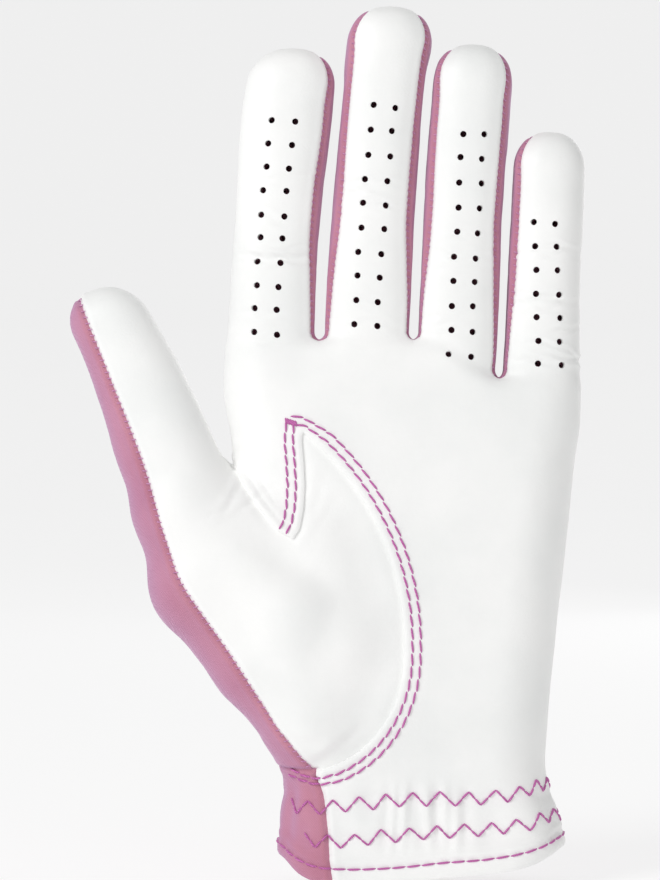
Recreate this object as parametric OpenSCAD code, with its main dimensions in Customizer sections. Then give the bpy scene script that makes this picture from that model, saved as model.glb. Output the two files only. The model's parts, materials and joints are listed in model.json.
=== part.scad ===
// Left-hand golf glove, modelled as the sewn shell it is, filled to the shape of a hand.
// +Z runs from the cuff to the fingertips, the palm faces -Y and the thumb is on the -X side.
// Origin: centre of the cuff opening, at the hem's lowest level.

/* [Body of the glove] */
// Width across the palm just below the fingers
palm_width = 82; // [80:0.5:84]
// Width across the wrist, at its narrowest
wrist_width = 61; // [59:0.5:63]
// Width across the flared hem
hem_width = 66; // [64:0.5:68]
// Thickness of the filled palm, front to back
palm_depth = 28; // [27:0.5:30]
// Height of the gathered cuff
cuff_height = 26; // [24:0.5:28]
// Height of the crotch between index and middle finger
crotch_height = 125; // [123:0.5:127]
// Thickness of the leather and of the stretch fabric
wall = 0.9; // [0.8:0.05:1.1]

/* [Fingers: index, middle, ring, little] */
// Width of each finger
finger_width = [19.9, 19.6, 19.6, 18.2]; // [17:0.1:21]
// Thickness of a finger, front to back
finger_depth = 16; // [15:0.1:16.5]
// Length of each finger above its crotch
finger_length = [69, 79, 70, 57]; // [55:0.5:82]
// Where each finger leaves the palm, measured across the palm
finger_x = [-34.8, -12.2, 8.7, 27.8]; // [-36:0.1:30]
// Height of each finger's root above or below the first crotch
finger_rise = [0, 1, 1, -7.5]; // [-9:0.1:2]
// Lean of each finger towards the little-finger side, in degrees
finger_lean = [4.2, 4.5, 3.7, 3]; // [2:0.1:5]
// Width of the side strips between the front and back of a finger
fourchette_width = 8; // [7:0.1:9]

/* [Movement] */
// Furthest bend of a finger at its root, in degrees
root_bend = 70; // [50:1:70]
// Furthest bend of a finger's middle joint, in degrees
middle_bend = 80; // [60:1:85]
// Furthest bend of a finger's end joint, in degrees
end_bend = 48; // [36:1:51]
// Furthest bend of the thumb's end joint, in degrees
thumb_bend = 50; // [30:1:55]
// Furthest swing of the thumb in front of the palm, in degrees
thumb_swing = 40; // [20:1:42]

/* [Closure] */
// Length of the closing tab
tab_length = 36; // [34:0.5:38]
// Height of the closing tab
tab_height = 24; // [22:0.5:26]
// Length of the slit in the back
slit_length = 44; // [40:0.5:48]

/* [Hidden] */

leather = [0.95, 0.95, 0.94];
fabric = [0.78, 0.56, 0.65];
thread = [0.72, 0.36, 0.58];
elastic = [0.90, 0.90, 0.90];
velcro = [0.85, 0.80, 0.83];

big = 300;               // larger than the glove, for cutting regions
gap = 0.25;              // clearance along every seam
half_gap = gap / 2;
ring_points = 32;        // points round one section of the palm loft
ball_fn = 20;            // facets round the balls that shape the thumb
strip = fourchette_width / 2;
face_y = -palm_depth / 2;

// ---- Places on the glove ----
palm_right = 36.7;                          // little-finger edge at the knuckles
palm_left = palm_right - palm_width;        // index-finger edge at the knuckles
wrist_mid = -1.5;
hem_mid = 0;
knuckle_height = 100;                       // above this the palm thins towards the fingers
loft_top = crotch_height - 4;
top_lean = atan(8 / palm_width);            // the crotches step down to the little finger

// Joint heights along each finger, measured from its root
root_pivot = [9.5, 9.5, 9.5, 9];
middle_pivot = [33, 37, 34, 28];
end_pivot = [54, 61, 55, 44];
// Depth of the bending axes: nearer the palm side than the middle
pivot_y = -2.5;

// Thumb: sphere centres and radii along its filled shape
thumb_tip_ball = [-71.3, -4, 127.4];
thumb_tip_r = 9;
thumb_low_ball = [-57.5, -4, 92.5];
thumb_low_r = 11;
thenar_balls = [
    [[-55, -4, 86], 11.5],
    [[-51, -2, 70], 13],
    [[-38, -4, 50], 12],
    [[-22, -6, 37], 9.5],
    [[-18, -5, 58], 12.5],
    [[-25, -5, 78], 11]
];
thumb_pivot = [-65.4, -6, 111.3];           // end joint of the thumb
thumb_lean = -23;                           // lean of the thumb away from the fingers
swing_pivot = [-50, -7, 100];               // the thumb's root joint, beside the web
swing_lean = -53;                           // lean of the way the root joint faces

// ---- Small tools ----

// Round-ended bar in plan: w long, d across
module obround(w, d) {
    square([w - d, d], center = true);
    for (side = [-1, 1])
        translate([side * (w - d) / 2, 0])
            circle(d = d, $fn = 64);
}

// Points of an obround ring at one level, spaced evenly by angle round its two ends
function ring_point(k, left, right, depth) =
    let (
        angle = 360 * (k + 0.5) / ring_points,
        on_right = cos(angle) > 0,
        end_x = on_right ? right - depth / 2 : left + depth / 2
    )
    [end_x + depth / 2 * cos(angle), depth / 2 * sin(angle)];

// One section of the palm loft: [height, left, right, depth, lean]
function section_points(s) = [
    for (k = [0 : ring_points - 1])
        let (p = ring_point(k, s[1], s[2], s[3]))
        [p[0], p[1], s[0] - (p[0] - (s[1] + s[2]) / 2) * tan(s[4])]
];

// Closed solid through a list of sections, bottom to top
module loft(sections) {
    n = ring_points;
    last = len(sections) - 1;
    points = [for (s = sections) each section_points(s)];
    bottom = [for (k = [0 : n - 1]) k];
    top = [for (k = [n - 1 : -1 : 0]) last * n + k];
    walls = [
        for (level = [0 : last - 1], k = [0 : n - 1])
            let (
                a = level * n + k,
                b = level * n + (k + 1) % n
            )
            each [[a, a + n, b], [b, a + n, b + n]]
    ];
    polyhedron(points = points, faces = concat([bottom], walls, [top]));
}

// The filled palm and cuff, drawn in by inset; below is how far it runs out of the cuff
module palm_solid(inset, below) {
    left_wrist = wrist_mid - wrist_width / 2;
    right_wrist = wrist_mid + wrist_width / 2;
    left_hem = hem_mid - hem_width / 2;
    right_hem = hem_mid + hem_width / 2;
    depth = palm_depth - 2 * inset;
    loft([
        [-below, left_hem + inset, right_hem - inset, depth, 0],
        [cuff_height * 0.3, left_hem + inset, right_hem - inset, depth, 0],
        [cuff_height, left_wrist + inset, right_wrist - inset, depth, 0],
        [knuckle_height, palm_left + 2 + inset, palm_right - 1 - inset, depth, 0],
        [loft_top - inset, palm_left + inset, palm_right - inset, finger_depth + 1 - 2 * inset, top_lean]
    ]);
}

// The filled thumb and the ball of the thumb, drawn in by inset
module thumb_solid(inset) {
    hull() {
        translate(thumb_tip_ball)
            sphere(thumb_tip_r - inset, $fn = ball_fn);
        translate(thumb_low_ball)
            sphere(thumb_low_r - inset, $fn = ball_fn);
    }
    hull()
        for (ball = thenar_balls)
            translate(ball[0])
                sphere(ball[1] - inset, $fn = ball_fn);
}

// Puts its children in a finger's own frame: origin at the root, +Z along the finger
module in_finger(i) {
    translate([finger_x[i], 0, crotch_height + finger_rise[i]])
        rotate([0, finger_lean[i], 0])
            children();
}

// The filled finger, from below its root to its rounded tip
module finger_solid(i, inset, below) {
    w = finger_width[i] - 2 * inset;
    d = finger_depth - 2 * inset;
    shoulder = finger_length[i] - finger_depth / 2;
    translate([0, 0, -below])
        linear_extrude(shoulder + below)
            obround(w, d);
    translate([0, 0, shoulder]) {
        rotate([0, 90, 0])
            cylinder(d = d, h = w - d, center = true, $fn = 64);
        for (side = [-1, 1])
            translate([side * (w - d) / 2, 0, 0])
                sphere(d = d, $fn = 64);
    }
}

module finger_shell(i) {
    difference() {
        finger_solid(i, 0, 0);
        finger_solid(i, wall, 1);
    }
}

// A slab of space between two depths, and between two places across the glove
module slab(y0, y1, x0 = -big, x1 = big, z0 = -big, z1 = big) {
    translate([x0, y0, z0])
        cube([x1 - x0, y1 - y0, z1 - z0]);
}

// ---- Fingers ----

notch_width = max(finger_width) + 0.9;     // reaches past a finger but not its neighbours

// Space a bending joint needs: a wedge open to the palm side, and a thin one behind
module bend_notch(height, bend, back_bend = 0) {
    half = bend / 2 + 1.5;
    back_half = back_bend / 2 + 0.5;
    translate([0, pivot_y, height])
        rotate([90, 0, 90])
            linear_extrude(notch_width, center = true)
                polygon([
                    [0, half_gap],
                    [-finger_depth, half_gap + finger_depth * tan(half)],
                    [-finger_depth, -half_gap - finger_depth * tan(half)],
                    [0, -half_gap],
                    [finger_depth, -half_gap - finger_depth * tan(back_half)],
                    [finger_depth, half_gap + finger_depth * tan(back_half)]
                ]);
}

// Hyperextension allowed at each finger's root
root_back_bend = 10;

// Part of a finger between two joints: 0 base, 1 middle, 2 tip
module finger_piece(i, part) {
    low = [root_pivot[i], middle_pivot[i], end_pivot[i]][part];
    high = [middle_pivot[i], end_pivot[i], finger_length[i] + 1][part];
    intersection() {
        difference() {
            finger_shell(i);
            bend_notch(root_pivot[i], root_bend, root_back_bend);
            bend_notch(middle_pivot[i], middle_bend);
            bend_notch(end_pivot[i], end_bend);
        }
        slab(-big, big, z0 = low, z1 = high);
    }
}

// Sides of each finger that carry a strip: -1 thumb side, 1 little-finger side
strip_sides = [[1], [-1, 1], [-1, 1], [-1]];

module front_space(i) {
    slab(-big, -strip - half_gap);
    for (side = [-1, 1])
        if (len(search(side, strip_sides[i])) == 0)
            slab(-big, strip - half_gap, min(0, side * big), max(0, side * big));
}

module back_space() {
    slab(strip + half_gap, big);
}

module strip_space(i) {
    for (side = strip_sides[i])
        slab(-strip + half_gap, strip - half_gap, min(1, side * big), max(-1, side * big));
}

module finger_front(i, part) {
    color(leather)
        in_finger(i)
            intersection() {
                finger_piece(i, part);
                front_space(i);
            }
}

module finger_back(i, part) {
    color(fabric)
        in_finger(i)
            intersection() {
                finger_piece(i, part);
                back_space();
            }
}

module finger_fourchette(i, part) {
    color(fabric)
        in_finger(i)
            intersection() {
                finger_piece(i, part);
                strip_space(i);
            }
}

// ---- Outlines on the front of the glove, in X and Z ----

function arc_points(cx, cz, r, from, to, steps) = [
    for (k = [0 : steps])
        let (a = from + (to - from) * k / steps)
        [cx + r * cos(a), cz + r * sin(a)]
];

// The crescent seam: a long upper arc and a tighter lower one meeting at its widest place
crescent_widest = [-4, 56];
upper_r = 66;
lower_r = 31;
upper_arc = arc_points(crescent_widest[0] - upper_r, crescent_widest[1], upper_r, 49, 0, 12);
lower_arc = arc_points(crescent_widest[0] - lower_r, crescent_widest[1], lower_r, 0, -76, 10);
crescent_line = concat(upper_arc, [for (k = [1 : 10]) lower_arc[k]]);
apex = upper_arc[0];
web = [-31, 80.4];
thumb_side_line = [web, [-29, 88], [-28, 97]];

// Everything on the front that belongs to the thumb
module thumb_region(grow) {
    translate([0, big, 0])
        rotate([90, 0, 0])
            linear_extrude(2 * big)
                offset_outline(grow);
}

module offset_outline(grow) {
    side_x = palm_left - 0.8 + grow;
    around = [
        for (k = [1 : len(crescent_line) - 1])
            let (p = crescent_line[k])
            p + grow * [0.8, 0.6 * sign(p[1] - crescent_widest[1])]
    ];
    polygon(concat(
        [apex + grow * [-0.7, 1.95]],
        around,
        [[-big, 26 - grow], [-big, big], [side_x, big], [side_x, 99 + 0.35 * grow]],
        [web + grow * [-0.47, 2.16]],
        [for (k = [1, 2]) thumb_side_line[k] + grow * [-1, 0]]
    ));
}

// Everything to the outside of the seam between the thumb's leather and its fabric
seam_top = [-82, 143];
seam_knee = [-57.5, 76];
seam_foot = [-22, 22];
module fabric_side(shift) {
    translate([0, big, 0])
        rotate([90, 0, 0])
            linear_extrude(2 * big)
                translate([shift, 0])
                    polygon([seam_top, seam_knee, seam_foot, [-22, -big], [-big, -big], [-big, 143]]);
}

// ---- Body panels ----

// The sewn shell of palm, cuff, ball of the thumb and finger roots
module body_shell() {
    difference() {
        union() {
            palm_solid(0, 0);
            thumb_solid(0);
            for (i = [0 : 3])
                in_finger(i)
                    finger_solid(i, 0, 10);
        }
        palm_solid(wall, 1);
        thumb_solid(wall);
        for (i = [0 : 3])
            in_finger(i)
                finger_solid(i, wall, 20);
    }
}

// Space above the finger roots, cleared from every body panel
module above_roots() {
    for (i = [0 : 3])
        in_finger(i) {
            bend_notch(root_pivot[i], root_bend, root_back_bend);
            translate([-notch_width / 2, -big, root_pivot[i]])
                cube([notch_width, 2 * big, big]);
        }
}

index_x = finger_x[0] - 2;
little_x = finger_x[3];
web_height = 97;
thumb_x = -36;

module palm_panel() {
    color(leather)
        intersection() {
            difference() {
                body_shell();
                above_roots();
                intersection() {
                    thumb_region(half_gap);
                    slab(-big, -strip + 1);
                }
                slab(-big, big, x1 = -22 + half_gap, z1 = cuff_height + 1);
            }
            union() {
                slab(-big, -strip - half_gap, z0 = hem_height + half_gap);
                slab(-big, strip - half_gap, x0 = little_x, z0 = hem_height + half_gap);
                slab(-big, strip - half_gap, palm_left - 1.5, index_x, web_height);
            }
        }
}

module back_panel() {
    color(fabric)
        difference() {
            intersection() {
                body_shell();
                union() {
                    slab(strip + half_gap, big, x0 = thumb_x + half_gap, z0 = hem_height + half_gap);
                    slab(strip + half_gap, big, x0 = palm_left - 1.5, z0 = web_height);
                    slab(-big, strip + 1, x1 = -22 - half_gap, z0 = hem_height + half_gap, z1 = cuff_height);
                }
            }
            above_roots();
            slit_space(slit_width);
        }
}

module crotch_fourchettes() {
    color(fabric)
        intersection() {
            difference() {
                body_shell();
                above_roots();
            }
            slab(-strip + half_gap, strip - half_gap, index_x + half_gap, little_x - half_gap, knuckle_height);
        }
}

// ---- Thumb ----

// Shell of the thumb and its ball, without the palm behind it
module thumb_shell() {
    difference() {
        union() {
            palm_solid(0, 0);
            thumb_solid(0);
        }
        palm_solid(wall, 1);
        thumb_solid(wall);
    }
}

reach_of_thumb = 60;

// Puts its children in a thumb joint's frame: origin on its axis, X along it, +Z towards the tip
module at_thumb_joint(pivot, lean) {
    translate(pivot)
        rotate([0, lean, 0])
            children();
}

// Wedge that a thumb joint bends into
module thumb_notch(pivot, lean, bend) {
    half = bend / 2 + 1.5;
    reach = 30;
    at_thumb_joint(pivot, lean)
        rotate([90, 0, 90])
            linear_extrude(2 * reach_of_thumb, center = true)
                polygon([
                    [0, half_gap],
                    [-reach, half_gap + reach * tan(half)],
                    [-reach, -half_gap - reach * tan(half)],
                    [0, -half_gap],
                    [reach, -half_gap],
                    [reach, half_gap]
                ]);
}

// All space beyond a thumb joint
module beyond(pivot, lean) {
    at_thumb_joint(pivot, lean)
        translate([-reach_of_thumb, -reach_of_thumb, 0])
            cube([2 * reach_of_thumb, 2 * reach_of_thumb, 2 * reach_of_thumb]);
}

thumb_seam_y = 3;

module thumb_leather_space() {
    difference() {
        union() {
            intersection() {
                thumb_region(-half_gap);
                slab(-big, -strip + 1);
            }
            slab(-strip + half_gap, thumb_seam_y - half_gap, x1 = thumb_x, z1 = web_height - gap);
            slab(-strip + half_gap, thumb_seam_y - half_gap, x1 = palm_left - gap);
        }
        fabric_side(half_gap);
        slab(-big, big, z1 = cuff_height + half_gap);
    }
}

module thumb_fabric_space() {
    difference() {
        union() {
            slab(thumb_seam_y + half_gap, big, x1 = thumb_x - half_gap, z1 = web_height - gap);
            slab(thumb_seam_y + half_gap, big, x1 = palm_left - gap);
            intersection() {
                slab(-big, thumb_seam_y + 1);
                fabric_side(-half_gap);
            }
        }
        slab(-big, big, z1 = cuff_height + gap);
    }
}

// The ball of the thumb, up to the root joint
module root_thumb() {
    difference() {
        thumb_shell();
        beyond(swing_pivot, swing_lean);
        thumb_notch(swing_pivot, swing_lean, thumb_swing);
    }
}

// The thumb beyond its root joint
module free_thumb() {
    difference() {
        intersection() {
            thumb_solid(0);
            beyond(swing_pivot, swing_lean);
        }
        thumb_solid(wall);
        palm_solid(-gap, 0);
        thumb_notch(swing_pivot, swing_lean, thumb_swing);
        thumb_notch(thumb_pivot, thumb_lean, thumb_bend);
    }
}

module thumb_front_root() {
    color(leather)
        intersection() {
            root_thumb();
            thumb_leather_space();
        }
}

module thumb_back_root() {
    color(fabric)
        intersection() {
            root_thumb();
            thumb_fabric_space();
        }
}

module thumb_front_base() {
    color(leather)
        difference() {
            intersection() {
                free_thumb();
                thumb_leather_space();
            }
            beyond(thumb_pivot, thumb_lean);
        }
}

module thumb_back_base() {
    color(fabric)
        difference() {
            intersection() {
                free_thumb();
                thumb_fabric_space();
            }
            beyond(thumb_pivot, thumb_lean);
        }
}

module thumb_front_tip() {
    color(leather)
        intersection() {
            free_thumb();
            thumb_leather_space();
            beyond(thumb_pivot, thumb_lean);
        }
}

module thumb_back_tip() {
    color(fabric)
        intersection() {
            free_thumb();
            thumb_fabric_space();
            beyond(thumb_pivot, thumb_lean);
        }
}

// ---- Cuff ----

hem_height = 7;
hem_turn = 0.5;          // how far the turned hem stands out of the panels

module hem_band() {
    difference() {
        linear_extrude(hem_height - half_gap)
            translate([hem_mid, 0])
                obround(hem_width + 2 * hem_turn, palm_depth + 2 * hem_turn);
        translate([0, 0, -1])
            linear_extrude(hem_height + 2)
                translate([hem_mid, 0])
                    obround(hem_width - 2 * wall, palm_depth - 2 * wall);
    }
}

module palm_hem() {
    color(leather)
        intersection() {
            hem_band();
            union() {
                slab(-big, -strip, x0 = -22);
                slab(-big, strip - half_gap, x0 = little_x);
            }
        }
}

module back_hem() {
    color(fabric)
        difference() {
            intersection() {
                hem_band();
                union() {
                    slab(strip + half_gap, big);
                    slab(-big, strip + 1, x1 = -22 - gap);
                }
            }
            slit_space(slit_width);
        }
}

elastic_low = 10;
elastic_high = 22;
elastic_thick = 1;

// Band of elastic sewn inside the gathered front of the wrist
module cuff_elastic() {
    inner = wall + gap;
    color(elastic)
        intersection() {
            translate([0, 0, elastic_low])
                linear_extrude(elastic_high - elastic_low)
                    translate([wrist_mid, 0])
                        difference() {
                            obround(wrist_width - 2 * inner, palm_depth - 2 * inner);
                            obround(
                                wrist_width - 2 * (inner + elastic_thick),
                                palm_depth - 2 * (inner + elastic_thick)
                            );
                        }
            slab(-big, 0);
        }
}

// ---- Stitching ----

stitch_d = 0.45;         // thickness of the thread
lift = 0.05;             // height of the thread above the leather

// One stitch on a flat front between two places in X and Z
module front_stitch(a, b, y) {
    run = b - a;
    translate([a[0], y - lift - stitch_d, a[1]])
        rotate([0, -atan2(run[1], run[0]), 0])
            translate([0, 0, -stitch_d / 2])
                cube([norm(run), stitch_d, stitch_d]);
}

// Outline moved outwards by d, away from the ball of the thumb
function outward(line, d) = [
    for (k = [0 : len(line) - 1])
        let (
            before = line[max(k - 1, 0)],
            after = line[min(k + 1, len(line) - 1)],
            along = (after - before) / norm(after - before)
        )
        line[k] + d * [-along[1], along[0]]
];

stitch_rows = [2.1, 4.3];
module thumb_seam_stitching() {
    color(thread)
        for (d = stitch_rows) {
            row = outward(crescent_line, d);
            for (k = [0 : len(row) - 2])
                front_stitch(row[k] * 0.92 + row[k + 1] * 0.08, row[k] * 0.08 + row[k + 1] * 0.92, face_y);
            leg = outward([thumb_side_line[1], thumb_side_line[2], apex + [0, -1]], d / 2);
            for (k = [0 : len(leg) - 2])
                front_stitch(leg[k] * 0.85 + leg[k + 1] * 0.15, leg[k] * 0.15 + leg[k + 1] * 0.85, face_y);
        }
}

// Width of the cuff at a height
function cuff_width(z) =
    let (t = max(0, (z - cuff_height * 0.3) / (cuff_height * 0.7)))
    hem_width + (wrist_width - hem_width) * t;
function cuff_mid(z) = hem_mid + (wrist_mid - hem_mid) * z / cuff_height;

// Puts its children on the cuff's surface, s along it from the middle of the front, facing out along -Y
module on_cuff(s, z, out) {
    flat = (cuff_width(z) - palm_depth) / 2;
    turn = max(abs(s) - flat, 0) / (palm_depth / 2);
    side = sign(s);
    translate([cuff_mid(z) + side * min(abs(s), flat), 0, z])
        rotate([0, 0, side * turn * 180 / PI])
            translate([0, face_y - out, 0])
                children();
}

zigzag_rows = [12, 20.5];
zigzag_rise = 3;
zigzag_step = 3.2;
module zigzag_stitching() {
    stroke = norm([zigzag_step, zigzag_rise]);
    slope = atan2(zigzag_rise, zigzag_step);
    color(thread)
        for (row = zigzag_rows, k = [-11 : 10])
            on_cuff((k + 0.5) * zigzag_step, row, lift + stitch_d + 0.25)
                rotate([0, (k % 2 == 0 ? 1 : -1) * slope, 0])
                    cube([stroke * 0.86, stitch_d, stitch_d], center = true);
}

hem_stitch_height = 4.5;
hem_stitch_step = 3.5;
module hem_stitching() {
    color(thread)
        for (k = [-10 : 10])
            on_cuff(k * hem_stitch_step, hem_stitch_height, lift + stitch_d + hem_turn)
                cube([hem_stitch_step * 0.75, stitch_d, stitch_d], center = true);
}

// ---- Closure on the back ----

slit_x = 2;
slit_width = 3;
back_y = palm_depth / 2;
layer = 0.8;             // thickness of one layer of the tab
tab_low = 8;
tab_root = 14;
tab_end_r = 8;

// The slit, open at the hem and round at its top
module slit_space(width) {
    translate([slit_x, big / 2, slit_length])
        rotate([90, 0, 0])
            cylinder(d = width, h = big / 2, $fn = 48);
    slab(0, big / 2, slit_x - width / 2, slit_x + width / 2, -1, slit_length);
}

module slit_binding() {
    color(leather)
        difference() {
            intersection() {
                slit_space(slit_width + 5);
                slab(back_y + 0.05, back_y + 0.05 + layer, z0 = hem_height + gap);
            }
            slit_space(slit_width);
        }
}

module rounded_plate(x0, x1, z0, z1, r, y, thick) {
    translate([x0 + r, y, z0])
        cube([x1 - x0 - r, thick, z1 - z0]);
    translate([x0, y, z0 + r])
        cube([r + 0.01, thick, z1 - z0 - 2 * r]);
    for (z = [z0 + r, z1 - r])
        translate([x0 + r, y + thick, z])
            rotate([90, 0, 0])
                cylinder(r = r, h = thick, $fn = 48);
}

patch_x0 = tab_root - tab_length + 3;
patch_x1 = slit_x - slit_width / 2 - 4;
patch_y = back_y + 0.05;
hook_y = patch_y + layer + gap;
lining_y = hook_y + layer + 0.05;
cover_y = lining_y + layer + 0.05;
tab_stitch_inset = 2;

module loop_patch() {
    color(velcro)
        rounded_plate(patch_x0 + 2, patch_x1, tab_low + 3, tab_low + tab_height - 3, 2, patch_y, layer);
}

module hook_patch() {
    color(velcro)
        rounded_plate(patch_x0 + 1, patch_x1 - 1, tab_low + 4, tab_low + tab_height - 4, 2, hook_y, layer);
}

module tab_lining() {
    color(fabric)
        rounded_plate(tab_root - tab_length, tab_root, tab_low, tab_low + tab_height, tab_end_r, lining_y, layer);
}

module tab_cover() {
    color(leather)
        rounded_plate(tab_root - tab_length, tab_root, tab_low, tab_low + tab_height, tab_end_r, cover_y, layer);
}

module tab_stitching() {
    y = cover_y + layer + lift;
    inset = tab_stitch_inset;
    x0 = tab_root - tab_length + inset;
    step = 2.8;
    color(thread) {
        for (z = [tab_low + inset, tab_low + tab_height - inset], k = [0 : 8])
            translate([x0 + tab_end_r + k * step, y, z - stitch_d / 2])
                cube([step * 0.75, stitch_d, stitch_d]);
        for (end = [-1, 1], k = [0 : 2])
            translate([x0 + tab_end_r - inset, y, tab_low + tab_height / 2 + end * (tab_height / 2 - tab_end_r)])
                rotate([0, end * (k + 0.5) * 28, 0])
                    translate([-tab_end_r + inset, 0, -step * 0.37])
                        cube([stitch_d, stitch_d, step * 0.75]);
        for (k = [-1 : 1])
            translate([x0, y, tab_low + tab_height / 2 + k * step - step * 0.37])
                cube([stitch_d, stitch_d, step * 0.75]);
    }
}

// ---- The glove ----
palm_panel();
back_panel();
crotch_fourchettes();
thumb_front_root();
thumb_back_root();
palm_hem();
back_hem();
cuff_elastic();
thumb_seam_stitching();
zigzag_stitching();
hem_stitching();
slit_binding();
loop_patch();
finger_front(0, 0);  // index_front_base
finger_front(0, 1);  // index_front_middle
finger_front(0, 2);  // index_front_tip
finger_back(0, 0);  // index_back_base
finger_back(0, 1);  // index_back_middle
finger_back(0, 2);  // index_back_tip
finger_fourchette(0, 0);  // index_fourchette_base
finger_fourchette(0, 1);  // index_fourchette_middle
finger_fourchette(0, 2);  // index_fourchette_tip
finger_front(1, 0);  // middle_front_base
finger_front(1, 1);  // middle_front_middle
finger_front(1, 2);  // middle_front_tip
finger_back(1, 0);  // middle_back_base
finger_back(1, 1);  // middle_back_middle
finger_back(1, 2);  // middle_back_tip
finger_fourchette(1, 0);  // middle_fourchettes_base
finger_fourchette(1, 1);  // middle_fourchettes_middle
finger_fourchette(1, 2);  // middle_fourchettes_tip
finger_front(2, 0);  // ring_front_base
finger_front(2, 1);  // ring_front_middle
finger_front(2, 2);  // ring_front_tip
finger_back(2, 0);  // ring_back_base
finger_back(2, 1);  // ring_back_middle
finger_back(2, 2);  // ring_back_tip
finger_fourchette(2, 0);  // ring_fourchettes_base
finger_fourchette(2, 1);  // ring_fourchettes_middle
finger_fourchette(2, 2);  // ring_fourchettes_tip
finger_front(3, 0);  // little_front_base
finger_front(3, 1);  // little_front_middle
finger_front(3, 2);  // little_front_tip
finger_back(3, 0);  // little_back_base
finger_back(3, 1);  // little_back_middle
finger_back(3, 2);  // little_back_tip
finger_fourchette(3, 0);  // little_fourchette_base
finger_fourchette(3, 1);  // little_fourchette_middle
finger_fourchette(3, 2);  // little_fourchette_tip
thumb_front_base();
thumb_back_base();
thumb_front_tip();
thumb_back_tip();
tab_cover();
tab_lining();
hook_patch();
tab_stitching();
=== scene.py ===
"""Looks of the left-hand golf glove, built as a skin round the filled hand shape that the CAD frame sets.

The skin is one smooth surface, cut along the seams into its leather and fabric panels. Every panel gets a
thickness, seam grooves, wrinkles and stitches, and is split where the glove bends. Lengths are millimetres
in the frame's axes: +Z to the fingertips, palm towards -Y, thumb on the -X side.
"""
import json
import math

import bpy
import numpy as np
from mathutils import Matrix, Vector
from mathutils.bvhtree import BVHTree
from mathutils.kdtree import KDTree


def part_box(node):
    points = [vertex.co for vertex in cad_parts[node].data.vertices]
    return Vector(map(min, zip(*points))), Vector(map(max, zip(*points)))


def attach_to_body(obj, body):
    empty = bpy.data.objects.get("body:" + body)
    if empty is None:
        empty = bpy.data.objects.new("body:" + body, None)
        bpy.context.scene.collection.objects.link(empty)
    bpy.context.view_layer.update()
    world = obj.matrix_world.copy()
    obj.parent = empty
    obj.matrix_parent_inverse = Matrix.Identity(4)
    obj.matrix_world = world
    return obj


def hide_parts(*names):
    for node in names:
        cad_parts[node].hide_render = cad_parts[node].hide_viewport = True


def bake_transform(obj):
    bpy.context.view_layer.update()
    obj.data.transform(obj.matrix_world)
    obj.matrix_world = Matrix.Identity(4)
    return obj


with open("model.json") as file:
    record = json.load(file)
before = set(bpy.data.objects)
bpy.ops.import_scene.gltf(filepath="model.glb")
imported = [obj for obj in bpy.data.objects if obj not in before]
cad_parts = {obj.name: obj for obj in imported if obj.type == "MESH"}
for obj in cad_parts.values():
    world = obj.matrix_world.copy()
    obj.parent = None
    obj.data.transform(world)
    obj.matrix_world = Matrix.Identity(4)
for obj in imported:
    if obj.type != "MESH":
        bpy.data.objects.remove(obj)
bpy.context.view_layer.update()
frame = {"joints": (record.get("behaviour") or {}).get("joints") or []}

rng = np.random.default_rng(7)

MM = 0.001
JOINTS = {j["name"]: j for j in frame["joints"]}
FINGERS = ("index", "middle", "ring", "little")

# ---------------------------------------------------------------- view and light, in metres and watts
VIEW_HEIGHT = 0.2057      # the picture's height at the glove, a little more than the glove's own
VIEW_CENTRE = (-0.02104, 0.1026)
LENS, SENSOR = 150, 36
WORLD_LIGHT = 0.43        # strength of the even light from all round
BACKGROUND = 0.86         # how bright that surrounding looks to the camera
FLOOR_GLOW = 0.68         # the floor's own light, which keeps it evenly pale
LIGHTS = (
    ("key", (-0.75, -0.75, 0.75), 0.5, 6.9),
    ("fill", (0.5, -1.1, 0.25), 0.9, 1.2),
    ("back", (0.5, 1.2, 0.5), 0.7, 2.0),
)                         # name, place, size and power

# ---------------------------------------------------------------- sizes, in millimetres
GRID = 1.5                # spacing of the grid the skin is drawn from
LEATHER = 0.8             # thickness of leather and fabric
ROOT_BELOW_JOINT = 9.5    # a finger starts this far below its first joint
HALF_STRIP = 4.8          # half the width of the side strip of a finger
WRAP = 4.5                # how far the palm leather wraps towards the back at the glove's two edges
ZONE_START = 1.0          # the bending part of a finger starts this far above its root
SEAM_PITCH = 1.52         # spacing of the overcast stitches
CREST_ROWS = (1.9, 3.8)   # the two stitch rows beside the thumb seam
HOLE_R = 0.75             # radius of a ventilation hole
HALF_GAP = 0.9            # half the smallest gap between two fingers
THREAD_R = 0.27           # radius of the sewing thread
STITCH_STEPS = 6          # points along one stitch
CUFF_MIDDLE = 0.0         # X of the cuff's middle
CUFF_FLAT = 18.0          # half the width of the cuff's flat front
CUFF_ROUND = 13.4         # radius of the cuff's rounded ends
ELASTIC_GAP = 1.9         # how far inside the skin the elastic lies
ELASTIC_IN = 2.8          # how far inside the skin the elastic ends


# ---------------------------------------------------------------- small mathematics
def unit(v):
    v = np.asarray(v, float)
    return v / np.maximum(np.linalg.norm(v, axis=-1, keepdims=True), 1e-9)


def smoothstep(x):
    x = np.clip(x, 0, 1)
    return x * x * (3 - 2 * x)


def soft_interp(x, xs, ys, spread=2.0):
    """Interpolates through stations, with the corners rounded off."""
    return sum(np.interp(x + k * spread, xs, ys) for k in (-2, -1, 0, 1, 2)) / 5


def smooth_max(a, b, k):
    """The larger of a and b, with the meeting line filled by a fillet of size k."""
    h = np.clip(0.5 + 0.5 * (a - b) / k, 0, 1)
    return b + (a - b) * h + k * h * (1 - h)


def node_box(name):
    lo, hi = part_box(name)
    return np.array(lo) / MM, np.array(hi) / MM


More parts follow.
